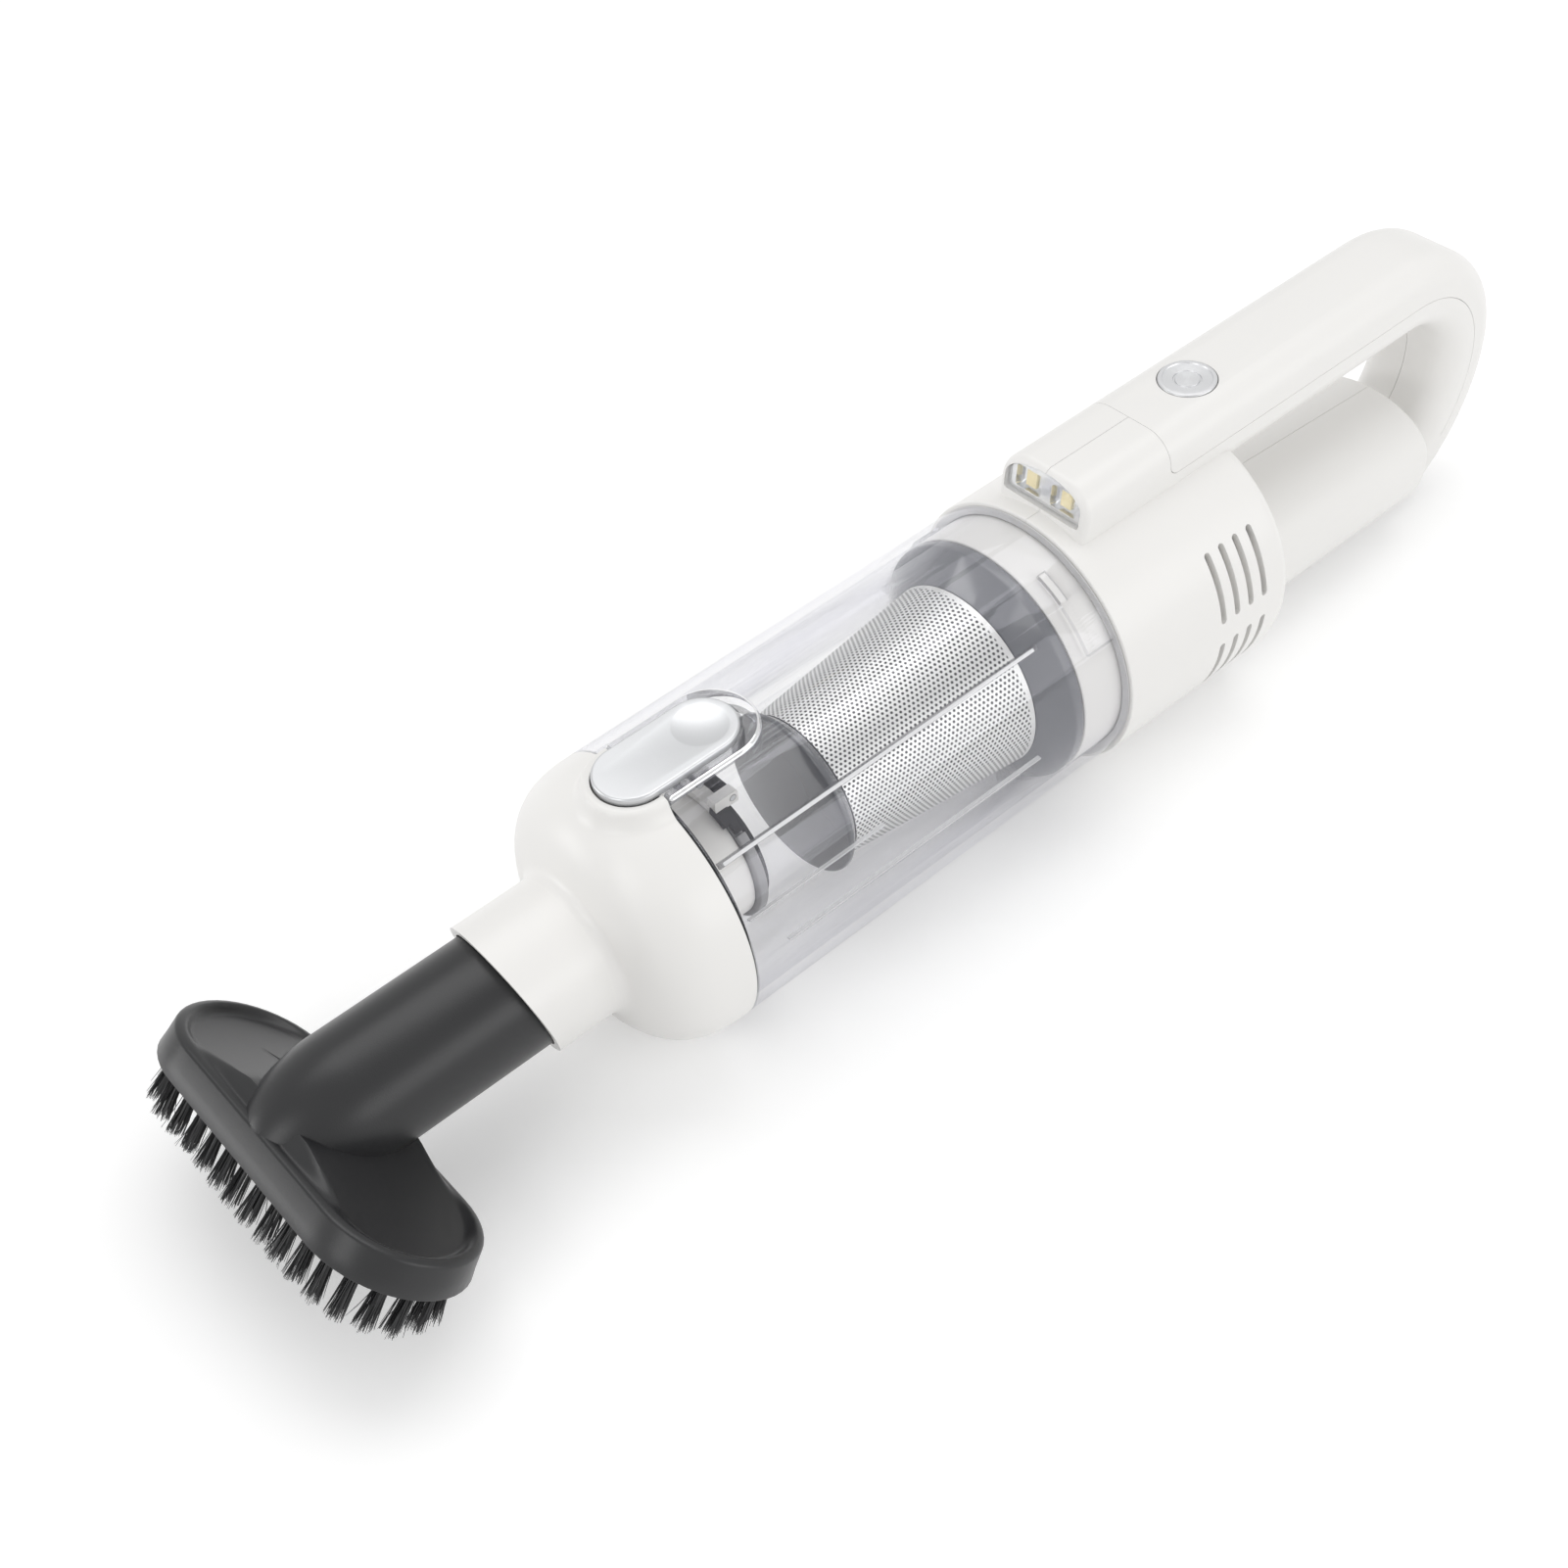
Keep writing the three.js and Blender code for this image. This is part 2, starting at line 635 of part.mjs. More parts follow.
const flangeSocket = coneLargeRadius - coneWall - gap - flangeSocketLength
  * (coneLargeRadius - coneSmallRadius) / (coneFront - coneRear);
const flangeBore = flangeSocket - flangeWall;
add('cyclone_flange', turned([
  [coneRear + flangeSocketLength, flangeBore], [coneRear + flangeSocketLength, flangeSocket],
  [coneRear - gap, flangeSocket], [coneRear - gap, coneLargeRadius],
  [flangeEdge, flangeRadius], [flangeBack, flangeRadius],
  [flangeBack, flangeRadius - flangeWall], [flangeEdge, flangeRadius - flangeWall],
  [coneRear - flangeWall, coneLargeRadius - flangeWall / 2], [coneRear - flangeWall, flangeBore],
], midSteps), smokePlastic);

// Pleated filter on its frame, behind the steel cone
const filterSetback = 12;
const filterFront = coneFront - filterSetback;
const frameCap = 2;
const frameTubeWall = 2;
const frameFlange = 3.3;
const pleatSetback = 1.6;
const pleatDepth = 7;
const frameTubeGap = 0.5;
const pleatOuter = coneSmallRadius - pleatSetback;
const pleatInner = pleatOuter - pleatDepth;
const frameTubeRadius = pleatInner - frameTubeGap;
const pleatPaper = 1.1;
const pleatCount = 18;
const frameWindow = 3;
const frameWindowShare = 0.2;
const filterSealThickness = 0.7;
const filterRear = coneRear - flangeWall;
const frameFlangeFront = filterRear + frameFlange;
const frameRadius = flangeBore - gap;

function pleatOutline(inward) {
  const points = [];
  for (let i = 0; i < 2 * pleatCount; i += 1) {
    const angle = Math.PI * i / pleatCount;
    const radius = (i % 2 ? pleatInner + pleatPaper : pleatOuter) - inward;
    points.push(new THREE.Vector2(radius * Math.cos(angle), radius * Math.sin(angle)));
  }
  return points;
}

function pleatedFilter() {
  const shape = new THREE.Shape(pleatOutline(0));
  shape.holes.push(new THREE.Path(pleatOutline(pleatPaper)));
  return alongX(shape, frameFlangeFront + gap, filterFront - frameCap - gap);
}
add('pleated_filter', pleatedFilter(), filterPaper);

function filterFrame() {
  const tubeBore = frameTubeRadius - frameTubeWall;
  const length = filterFront - filterRear;
  const windowFront = filterFront - frameWindowShare * length;
  const windowRear = filterRear + frameWindowShare * length;
  const tube = turned([
    [filterFront, 0], [filterFront, pleatOuter], [filterFront - frameCap, pleatOuter],
    [filterFront - frameCap, frameTubeRadius], [frameFlangeFront, frameTubeRadius],
    [frameFlangeFront, frameRadius], [filterRear, frameRadius], [filterRear, tubeBore],
    [filterFront - frameCap, tubeBore], [filterFront - frameCap, 0],
  ], midSteps);
  return cut(tube,
    slab(windowRear, windowFront, frameWindow, -overrun, overrun),
    slab(windowRear, windowFront, overrun, -frameWindow, frameWindow));
}
add('filter_frame', filterFrame(), whitePlastic);

// Collar of the motor unit: the cup twists on to its three lugs
const collarGap = 0.4;
const collarWall = 2.5;
const collarLength = 5.8;
const collarFlangeSetback = 0.8;
const bulkheadSetback = 3.8;
const collarRadius = cupBore - collarGap;
const collarRear = barrelFront - collarLength;
const collarFlangeFront = barrelFront - collarFlangeSetback;
const bulkheadFront = cupBack + bulkheadSetback;
const bulkheadThickness = 2;
const ductWall = 2.4;
const lugGapAngle = 0.5;
const lugAngle = 14;
const collarFlangeRadius = barrelFit;
const ductRadius = frameRadius;
const filterSealRear = filterRear - gap - filterSealThickness;

add('filter_seal', ring(filterSealRear, filterRear - gap, ductRadius - ductWall, ductRadius, midSteps), darkRubber);

function motorCollar() {
  const lugs = Array.from({ length: lockCount }, (_, i) => {
    const from = lockFromAngle + lugGapAngle + 360 / lockCount * i;
    return sector(lockRear + gap, lockFront - gap, collarRadius - collarWall, lockRadius - gap,
      from, from + lugAngle);
  });
  const [inner, ductBore] = [collarRadius - collarWall, ductRadius - ductWall];
  const bulkheadRear = bulkheadFront - bulkheadThickness;
  return join(turned([
    [collarRear, inner], [collarRear, collarFlangeRadius], [collarFlangeFront, collarFlangeRadius],
    [collarFlangeFront, collarRadius], [flangeBack - gap, collarRadius], [flangeBack - gap, inner],
    [bulkheadFront, inner], [bulkheadFront, ductRadius], [filterSealRear - gap, ductRadius],
    [filterSealRear - gap, ductBore], [bulkheadRear, ductBore], [bulkheadRear, inner],
  ], midSteps), ...lugs);
}
add('motor_collar', motorCollar(), whitePlastic);
add('cup_seal', ring(barrelFront + gap, cupBack - gap, collarRadius + gap, sealOuter), darkRubber);

// Housing: the barrel, the lamp pod, the loop handle and the battery block, as two halves and a cover
const barrelEdge = 5;
const podSetback = 3.8;
const podSeat = 3.3;
const podFront = barrelFront - podSetback;
const podLeanAngle = 9;
const podLeanHeight = barrelRadius - podSeat;
const packCentre = -10;
const packTopHeight = 18.7;
const packTopRearHeight = 13.7;
const packSide = 4;
const packBottomHeight = 21;
const packEdge = 1.5;
const footClipHeight = -12;
const footTurn = 75;
const coverFootTurn = 40;
const coverSetback = 36.3;
const coverFront = barrelFront - coverSetback;
const gripBottom = gripHeight - gripThickness / 2;
const gripTop = gripHeight + gripThickness / 2;
const loopCentreHeight = gripHeight - loopRadius;
const loopCentrePlace = barrelRear - loopLength;
const footCentrePlace = loopCentrePlace - loopRadius + footRadius;

// The loop's centre line: along the grip, round its rear and down into the foot.
class HandlePath extends THREE.Curve {
  constructor(front, lastTurn, turns) {
    super();
    this.stations = [[front, gripHeight, 0]];
    for (let i = 0; i <= turns; i += 1) {
      const turn = Math.PI / 2 * i / turns;
      this.stations.push([loopCentrePlace - loopRadius * Math.sin(turn),
        loopCentreHeight + loopRadius * Math.cos(turn), turn]);
    }
    for (let i = 1; i <= turns; i += 1) {
      const turn = lastTurn * degrees * i / turns;
      this.stations.push([footCentrePlace - footRadius * Math.cos(turn),
        loopCentreHeight - footRadius * Math.sin(turn), Math.PI / 2 + turn]);
    }
  }

  station(share) {
    return this.stations[Math.round(share * (this.stations.length - 1))];
  }

  getPoint(share) {
    const [x, z] = this.station(share);
    return new THREE.Vector3(x, 0, z);
  }

  getPointAt(share) {
    return this.getPoint(share);
  }

  getTangentAt(share) {
    const turn = this.station(share)[2];
    return new THREE.Vector3(-Math.cos(turn), 0, -Math.sin(turn));
  }
}

function loop(front, inset, lastTurn) {
  const path = new HandlePath(front, lastTurn, inset > 0 ? bendSteps - 1 : bendSteps);
  const section = roundRect(gripThickness / 2 - inset, inset - gripWidth / 2, gripWidth / 2 - inset,
    gripCorner - inset);
  return solid(new THREE.ExtrudeGeometry(section, {
    steps: path.stations.length - 1, curveSegments: inset > 0 ? 2 : 3, extrudePath: path,
  }));
}

// The battery block's outline, rounder at the top, where it falls towards the rear.
function pack(front, rear, inset, edge = 0) {
  const halfWidth = packWidth / 2 - inset;
  const shape = new THREE.Shape();
  shape.absellipse(0, packCentre, halfWidth, packTopHeight - inset, 0, Math.PI, false, 0);
  shape.absellipse(0, packCentre - packSide, halfWidth, packBottomHeight - inset, Math.PI, 2 * Math.PI, false, 0);
  const geometry = new THREE.ExtrudeGeometry(shape, {
    depth: front - rear - 2 * edge,
    bevelEnabled: edge > 0,
    bevelThickness: edge,
    bevelSize: edge,
    bevelOffset: -edge,
    bevelSegments: 1,
    curveSegments: inset > 0 ? 6 : 9,
  });
  geometry.rotateX(Math.PI / 2);
  geometry.rotateZ(Math.PI / 2);
  geometry.translate(rear + edge, 0, 0);
  const places = geometry.getAttribute('position');
  const fall = (packTopRearHeight / packTopHeight - 1) / (packEnd - barrelRear);
  for (let i = 0; i < places.count; i += 1) {
    const above = places.getZ(i) - packCentre;
    if (above > 0) places.setZ(i, packCentre + above * (1 + fall * (places.getX(i) - barrelRear)));
  }
  return solid(geometry);
}

function barrel() {
  const edge = [];
  for (let i = 0; i <= 3; i += 1) {
    const turn = Math.PI / 2 * i / 3;
    edge.push([barrelRear + barrelEdge * (1 - Math.cos(turn)), barrelRadius - barrelEdge * (1 - Math.sin(turn))]);
  }
  return turned([[barrelRear, 0], ...edge, [barrelFront, barrelRadius], [barrelFront, 0]]);
}

// Everything in front of the leaning face of the lamp pod.
function beyondPod() {
  const lean = Math.tan(podLeanAngle * degrees);
  const outline = polygon([
    [podFront + podLeanHeight * lean, 0], [overrun, 0], [overrun, overrun],
    [podFront - (overrun - podLeanHeight) * lean, overrun],
  ]);
  return alongY(outline, -overrun, overrun);
}

// The part of the loop below a height keeps inside the battery block's outline.
function withFoot(handle, inset) {
  const below = slab(-overrun, overrun, overrun, -overrun, footClipHeight);
  return join(handle.subtract(below), handle.intersect(below).intersect(pack(barrelRear, -overrun, inset)));
}

const cavitySetback = 10.8;
const cavityFront = barrelFront - cavitySetback;
const cavityTurn = 50;
const wireWindow = 8;
const footWindowTop = -20;
const footWindowBottom = -26;
const footWindowHalfWidth = 6;
const footWindowReach = 12;
const packCavityRear = packEnd + shellWall;

function housingShell() {
  const handle = cut(loop(podFront + gripThickness / 2, 0, footTurn), beyondPod());
  const outer = join(barrel(), withFoot(handle, 0), pack(barrelRear + barrelEdge, packEnd, 0, packEdge));
  return cut(outer,
    disc(barrelRear + shellWall, overrun, barrelBore),
    withFoot(loop(cavityFront, shellWall, cavityTurn), shellWall),
    pack(barrelRear, packCavityRear, shellWall),
    pinX(0, packCentre, wireWindow, barrelRear - shellWall, barrelRear + 2 * shellWall),
    slab(packCavityRear - footWindowReach, packCavityRear + shellWall, footWindowHalfWidth,
      footWindowBottom, footWindowTop));
}

// A solid that ends in the middle of the housing's walls, for what is moulded on their inside
function wallMiddle() {
  const inset = shellWall / 2;
  return join(disc(barrelRear + inset, barrelFront - inset, barrelRadius - inset),
    loop(cavityFront, inset, cavityTurn), pack(barrelRear, packCavityRear, inset));
}

// Air slots through both sides of the barrel
const ventMargin = 27.2;
const ventFirst = barrelRear + ventMargin;
const ventPitch = 5.23;
const ventCount = 4;
const ventWidth = 2;
const ventArcs = [[51.5, 83], [93.4, 125]];

function vents() {
  const tools = [];
  for (let i = 0; i < ventCount; i += 1) {
    const place = ventFirst - ventPitch * i;
    for (const [from, to] of ventArcs) {
      for (const side of [-1, 1]) {
        tools.push(sector(place - ventWidth / 2, place + ventWidth / 2,
          barrelBore - shellWall, barrelRadius + shellWall, side * from, side * to, 1));
      }
    }
  }
  return tools;
}

// Outer half of the loop, which the cover takes. A positive margin grows it.
function coverRegion(margin) {
  const shape = new THREE.Shape();
  const loopMiddle = loopRadius - margin;
  const footMiddle = footRadius - margin;
  const footEnd = Math.PI + coverFootTurn * degrees;
  shape.moveTo(coverFront + margin, gripTop + overrun);
  shape.lineTo(coverFront + margin, gripHeight - margin);
  shape.absarc(loopCentrePlace, loopCentreHeight, loopMiddle, Math.PI / 2, Math.PI, false);
  shape.absarc(footCentrePlace, loopCentreHeight, footMiddle, Math.PI, footEnd + margin / footRadius, false);
  shape.lineTo(footCentrePlace + (footRadius + overrun) * Math.cos(footEnd + margin / footRadius),
    loopCentreHeight + (footRadius + overrun) * Math.sin(footEnd + margin / footRadius));
  shape.lineTo(footCentrePlace - 2 * overrun, loopCentreHeight);
  shape.lineTo(footCentrePlace - 2 * overrun, gripTop + overrun);
  return alongY(shape, -overrun, overrun, bendSteps);
}

// Battery cells lie side by side in cradle ribs in the block
const cellRadius = 9.1;
const cellSpacing = 18.8;
const cellHeight = -14;
const cellPlateThickness = 2.5;
const cradleWidth = 2;
const cradleShares = [0.2, 0.8];

function cradles() {
  return cradleShares.map((share) => {
    const place = cellFront - share * cellLength;
    const rib = slab(place - cradleWidth / 2, place + cradleWidth / 2, packWidth, -packWidth, cellHeight);
    const seats = [-1, 1].map((side) => pinX(side * cellSpacing / 2, cellHeight, cellRadius + gap,
      cellRear, cellFront, midSteps));
    return cut(rib, ...seats);
  });
}

// Ribs under the control board in the grip
const boardSetback = 3.5;
const boardLength = 40;
const boardFront = coverFront - boardSetback;
const boardRear = boardFront - boardLength;
const boardRibWidth = 2;
const boardHalfWidth = 7;
const boardThickness = 1.2;
const boardBottom = gripHeight + gap / 2;
const boardRibInset = 4;

function boardRibs() {
  return [boardFront - boardRibInset, boardRear + boardRibInset].map((place) => slab(
    place - boardRibWidth / 2, place + boardRibWidth / 2, gripWidth, gripBottom, gripHeight));
}

// Screws hold the halves from the right side: post, seat and pilot hole
const screwHeadRadius = 2.6;
const screwHeadHeight = 1.7;
const screwShankRadius = 1.1;
const screwLength = 14;
const postRadius = 3.9;
const slotWidth = 0.8;
const slotDepth = 0.9;
const gripPostHeight = gripBottom + shellWall + postRadius - gap;
const packPostHeight = cellHeight - cellRadius - gap - postRadius;
const barrelPostMargin = 8.3;
const barrelPostHeight = barrelPostMargin - barrelRadius;
const gripSeatDepth = 9.5;
const packSeatDepth = 15;
const gripSeat = gripSeatDepth - gripWidth / 2;
const packSeat = packSeatDepth - packWidth / 2;
const gripScrewSetback = 28.5;
const loopScrewMargin = 6;
const barrelScrewSetback = 27.1;
const packScrewMargin = 2;
const packScrewRearMargin = 0.5;
const screwPlaces = [
  { x: barrelRear - gripScrewSetback, z: gripPostHeight, seat: gripSeat },
  { x: loopCentrePlace + loopScrewMargin, z: gripPostHeight, seat: gripSeat },
  { x: barrelFront - barrelScrewSetback, z: barrelPostHeight, seat: packSeat },
  { x: cellFront + packScrewMargin, z: packPostHeight, seat: packSeat },
  { x: cellRear + packScrewRearMargin, z: packPostHeight, seat: packSeat },
];

function screwPosts() {
  return screwPlaces.map(({ x, z }) => pinY(x, z, postRadius, -packWidth, packWidth));
}

function screwHoles() {
  return screwPlaces.flatMap(({ x, z, seat }) => [
    pinY(x, z, screwHeadRadius + gap, -overrun, seat),
    pinY(x, z, screwShankRadius + gap, seat - gap, seat + screwLength - screwHeadHeight + gap)]);
}

function screw({ x, z, seat }) {
  const headTop = seat - gap - screwHeadHeight;
  const slot = block(x - slotWidth / 2, x + slotWidth / 2, headTop - slotDepth, headTop + slotDepth,
    z - screwHeadRadius, z + screwHeadRadius);
  return cut(join(
    pinY(x, z, screwHeadRadius, headTop, seat - gap),
    pinY(x, z, screwShankRadius, seat - gap - screwHeadHeight / 2, headTop + screwLength, 6)), slot);
}

// Lamp in the pod's front: lens, reflector, two light chips and their board, set in a D-shaped hole
const lampRise = 1.1;
const lampMargin = 2.3;
const lampBase = barrelRadius + lampRise;
const lampHeight = 9.6;
const lampHalfWidth = gripWidth / 2 - lampMargin;
const lampShoulder = 4.2;
const lampMiddleShare = 0.45;
const lensThickness = 1.2;
const reflectorDepth = 2.6;
const reflectorFloor = 0.9;
const reflectorPitHalfWidth = 4.6;
const reflectorPitMargin = 1.3;
const lampBoardThickness = 1.2;
const chipPlace = 6;
const chipHalfWidth = 1.7;
const chipHalfHeight = 2.2;
const chipThickness = 0.6;
const lampMiddle = lampBase + lampHeight * lampMiddleShare;

function lampShape(inset) {
  const halfWidth = lampHalfWidth - inset;
  const rise = lampHeight - lampShoulder - inset;
  const shape = new THREE.Shape();
  shape.moveTo(-halfWidth, lampBase + inset);
  shape.lineTo(halfWidth, lampBase + inset);
  shape.lineTo(halfWidth, lampBase + lampShoulder);
  shape.absellipse(0, lampBase + lampShoulder, halfWidth, rise, 0, Math.PI, false, 0);
  return shape;
}

// Carried back from the pod's leaning face by a depth, square to the body axis, then leant.
function lampPiece(shape, front, depth) {
  const geometry = extruded(shape, depth, 6);
  geometry.rotateX(Math.PI / 2);
  geometry.rotateZ(Math.PI / 2);
  geometry.translate(front - depth, 0, -podLeanHeight);
  geometry.rotateY(-podLeanAngle * degrees);
  geometry.translate(podFront, 0, podLeanHeight);
  return solid(geometry);
}

function rectangle(centreY, halfWidth, low, high) {
  return polygon([[centreY - halfWidth, low], [centreY + halfWidth, low],
    [centreY + halfWidth, high], [centreY - halfWidth, high]]);
}

const reflectorFront = -lensThickness - gap;
const chipFloor = reflectorFront - reflectorDepth + reflectorFloor;
const lampBoardFront = reflectorFront - reflectorDepth - gap;
const lampHoleDepth = lampBoardThickness - lampBoardFront + gap;

add('led_lens', lampPiece(lampShape(0), 0, lensThickness), clearPlastic);
add('led_reflector', cut(lampPiece(lampShape(0), reflectorFront, reflectorDepth),
  ...[-1, 1].map((side) => lampPiece(rectangle(side * chipPlace, reflectorPitHalfWidth,
    lampBase + reflectorPitMargin, lampBase + lampHeight - 2 * reflectorPitMargin),
  reflectorFront + gap, reflectorDepth - reflectorFloor + gap))), chromePlate);
for (const [name, side] of [['led_chip_left', 1], ['led_chip_right', -1]]) {
  add(name, lampPiece(rectangle(side * chipPlace, chipHalfWidth,
    lampMiddle - chipHalfHeight, lampMiddle + chipHalfHeight), chipFloor + gap + chipThickness, chipThickness),
  ledPhosphor);
}
add('led_board', lampPiece(lampShape(0), lampBoardFront, lampBoardThickness), circuitBoard);

// Power button through the cover, with its spring, switch and control board
const buttonSetback = 22;
const buttonPlace = coverFront - buttonSetback;
const buttonRadius = 7.75;
const buttonStandOut = 0.4;
const buttonHollowRadius = 6.4;
const buttonHollowDepth = 0.5;
const buttonFlangeRadius = 8.5;
const buttonFlangeDrop = 0.7;
const buttonFlangeThickness = 1.2;
const buttonTravel = 1.2;
const buttonStemRadius = 1.6;
const switchHalfWidth = 3;
const switchHeight = 3;
const buttonSpringRadius = 5.5;
const buttonSpringWire = 0.4;
const boardTop = boardBottom + boardThickness;
const switchBottom = boardTop + gap;
const switchTop = switchBottom + switchHeight;
const buttonFlangeTop = gripTop - shellWall - gap - buttonFlangeDrop;
const buttonFlangeBottom = buttonFlangeTop - buttonFlangeThickness;
const buttonTop = gripTop + buttonStandOut;

add('power_button', cut(turnedUp(buttonPlace, [
  [0, switchTop + buttonTravel + gap], [buttonStemRadius, switchTop + buttonTravel + gap],
  [buttonStemRadius, buttonFlangeBottom], [buttonFlangeRadius, buttonFlangeBottom],
  [buttonFlangeRadius, buttonFlangeTop], [buttonRadius, buttonFlangeTop], [buttonRadius, buttonTop],
  [0, buttonTop],
], 20), hollow(buttonPlace, buttonHollowRadius, buttonHollowDepth, buttonTop, 20)), greyPaint);
coilSpring('button_spring', buttonPlace, buttonSpringRadius, buttonSpringWire,
  boardTop + gap, buttonFlangeBottom - gap, 3);
add('switch_body', slab(buttonPlace - switchHalfWidth, buttonPlace + switchHalfWidth, switchHalfWidth,
  switchBottom, switchTop), blackPlastic);
add('control_board', slab(boardRear, boardFront, boardHalfWidth, boardBottom, boardTop), circuitBoard);

// Charging socket in the rear of the loop, with its small board
const socketHalfWidth = 5.5;
const socketHalfHeight = 4.2;
const socketDepth = 8.5;
const socketFaceInset = 0.3;
const socketSlotHalfWidth = 4.4;
const socketSlotHalfHeight = 1.5;
const socketSlotDepth = 6;
const socketBoardHalfHeight = 7;
const socketFace = loopCentrePlace - loopRadius - gripThickness / 2 + socketFaceInset;
const socketBack = socketFace + socketDepth;

function socketHole(grow) {
  return slab(socketFace - overrun, socketBack + grow, socketHalfWidth + grow,
    loopCentreHeight - socketHalfHeight - grow, loopCentreHeight + socketHalfHeight + grow);
}
const socketSlot = alongX(stadium(-socketSlotHalfWidth, socketSlotHalfWidth, socketSlotHalfHeight),
  socketFace - gap, socketFace + socketSlotDepth, arcSteps, loopCentreHeight);
add('charge_socket', cut(slab(socketFace, socketBack, socketHalfWidth,
  loopCentreHeight - socketHalfHeight, loopCentreHeight + socketHalfHeight), socketSlot), plainSteel);
add('charge_board', slab(socketBack + gap, socketBack + gap + boardThickness, boardHalfWidth,
  loopCentreHeight - socketBoardHalfHeight, loopCentreHeight + socketBoardHalfHeight), circuitBoard);

// The housing's three shells, split at y = 0 and along the middle of the loop
const lampHole = lampPiece(lampShape(-gap), gripThickness, lampHoleDepth + gripThickness);
const buttonHole = turnedUp(buttonPlace, [[0, gripHeight], [buttonRadius + gap, gripHeight],
  [buttonRadius + gap, overrun], [0, overrun]], 20);
const moulded = join(...screwPosts(), ...boardRibs(), ...cradles()).intersect(wallMiddle());
const shell = cut(join(housingShell(), moulded), ...vents(), lampHole, buttonHole, socketHole(gap));
const halves = cut(shell, coverRegion(gap / 2), ...screwHoles());
const rightOfSeam = block(-overrun, overrun, -overrun, gap / 2, -overrun, overrun);
const leftOfSeam = block(-overrun, overrun, -gap / 2, overrun, -overrun, overrun);
add('housing_left', halves.subtract(rightOfSeam), whitePlastic);
add('housing_right', halves.subtract(leftOfSeam), whitePlastic);
add('handle_cover', shell.intersect(coverRegion(-gap / 2)), whitePlastic);
screwPlaces.forEach((place, i) => add(`housing_screw_${i + 1}`, screw(place), plainSteel));

// Fan and motor on the body axis
const shroudWall = 1.5;
const shroudEye = 11;
const shroudLip = 1.5;
const shroudRadius = barrelFit;
const shroudFront = collarRear - gap;
const impellerSetback = 9.3;
const impellerDepth = 6;
const impellerMargin = 12.3;
const impellerFront = barrelFront - impellerSetback;
const impellerRear = impellerFront - impellerDepth;
const impellerRadius = barrelRadius - impellerMargin;
const shroudRear = impellerRear - shroudLip;
const impellerPlate = 1.2;
const hubRadius = 6;
const bladeCount = 9;
const bladeThickness = 1;
const bladeLeanAngle = 35;
const shaftRadius = 1.6;
const shaftEnd = 0.5;
const shaftTail = 2;
const canSetback = 18.8;
const canRearMargin = 10.5;
const canFront = barrelFront - canSetback;
const canRear = barrelRear + canRearMargin;
const shaftFront = impellerFront + shaftEnd;
const shaftRear = canRear - shaftTail;
const canRadius = 17.5;
const canWall = 1.6;
const bearingRadius = 4.7;
const rotorRadius = 12;
const rotorLength = 20;
const magnetInner = 12.6;
const mountThickness = 3;
const mountFrontMargin = 0.5;
const mountRearMargin = 4;
const mountHub = 3.5;
const mountRim = 3.5;
const mountFront = canFront - mountFrontMargin;
const mountRear = canRear + mountRearMargin;
const mountHoleInner = canRadius + mountHub;
const mountHoleOuter = barrelFit - mountRim;
const mountHoleCount = 4;
const mountHoleAngle = 60;
const motorMiddle = (canFront + canRear) / 2;

add('fan_shroud', turned([
  [shroudFront, shroudEye], [shroudFront, shroudRadius], [shroudRear, shroudRadius],
  [shroudRear, shroudRadius - shroudWall], [shroudFront - shroudWall, shroudRadius - shroudWall],
  [shroudFront - shroudWall, shroudEye],
], midSteps), blackPlastic);

function impeller() {
  const blades = Array.from({ length: bladeCount }, (_, i) => {
    const geometry = new THREE.BoxGeometry(impellerFront - impellerRear, bladeThickness, impellerRadius - hubRadius);
    geometry.translate(0, 0, (impellerRadius - hubRadius) / 2);
    geometry.rotateX(bladeLeanAngle * degrees);
    geometry.translate((impellerFront + impellerRear) / 2, 0, hubRadius - bladeThickness);
    geometry.rotateX(2 * Math.PI * i / bladeCount);
    return solid(geometry);
  });
  return cut(join(
    disc(impellerRear, impellerRear + impellerPlate, impellerRadius, midSteps),
    disc(impellerRear, impellerFront, hubRadius, smallSteps),
    ...blades), disc(-overrun, overrun, shaftRadius + gap, pinSteps));
}
add('impeller', impeller(), blackPlastic);
add('motor_shaft', disc(shaftRear, shaftFront, shaftRadius, pinSteps), plainSteel);

add('motor_can', cut(disc(canRear, canFront, canRadius, midSteps),
  disc(canRear + canWall, canFront - canWall, canRadius - canWall, midSteps),
  disc(canRear - gap, canFront + gap, bearingRadius + gap, smallSteps)), plainSteel);
for (const [name, place] of [['front_bearing', canFront - canWall], ['rear_bearing', canRear]]) {
  add(name, ring(place, place + canWall, shaftRadius + running, bearingRadius, smallSteps), plainSteel);
}
add('motor_rotor', ring(motorMiddle - rotorLength / 2, motorMiddle + rotorLength / 2,
  shaftRadius + gap, rotorRadius, smallSteps), plainSteel);
add('motor_magnets', ring(motorMiddle - rotorLength / 2, motorMiddle + rotorLength / 2,
  magnetInner, canRadius - canWall - gap, midSteps), darkRubber);

function motorMount(front) {
  const holes = Array.from({ length: mountHoleCount }, (_, i) => {
    const middle = 360 / mountHoleCount * i;
    return sector(-overrun, overrun, mountHoleInner, mountHoleOuter,
      middle - mountHoleAngle / 2, middle + mountHoleAngle / 2, 1);
  });
  return cut(ring(front - mountThickness, front, canRadius + gap, shroudRadius, midSteps), ...holes);
}
add('motor_mount_front', motorMount(mountFront), darkRubber);
add('motor_mount_rear', motorMount(mountRear), darkRubber);

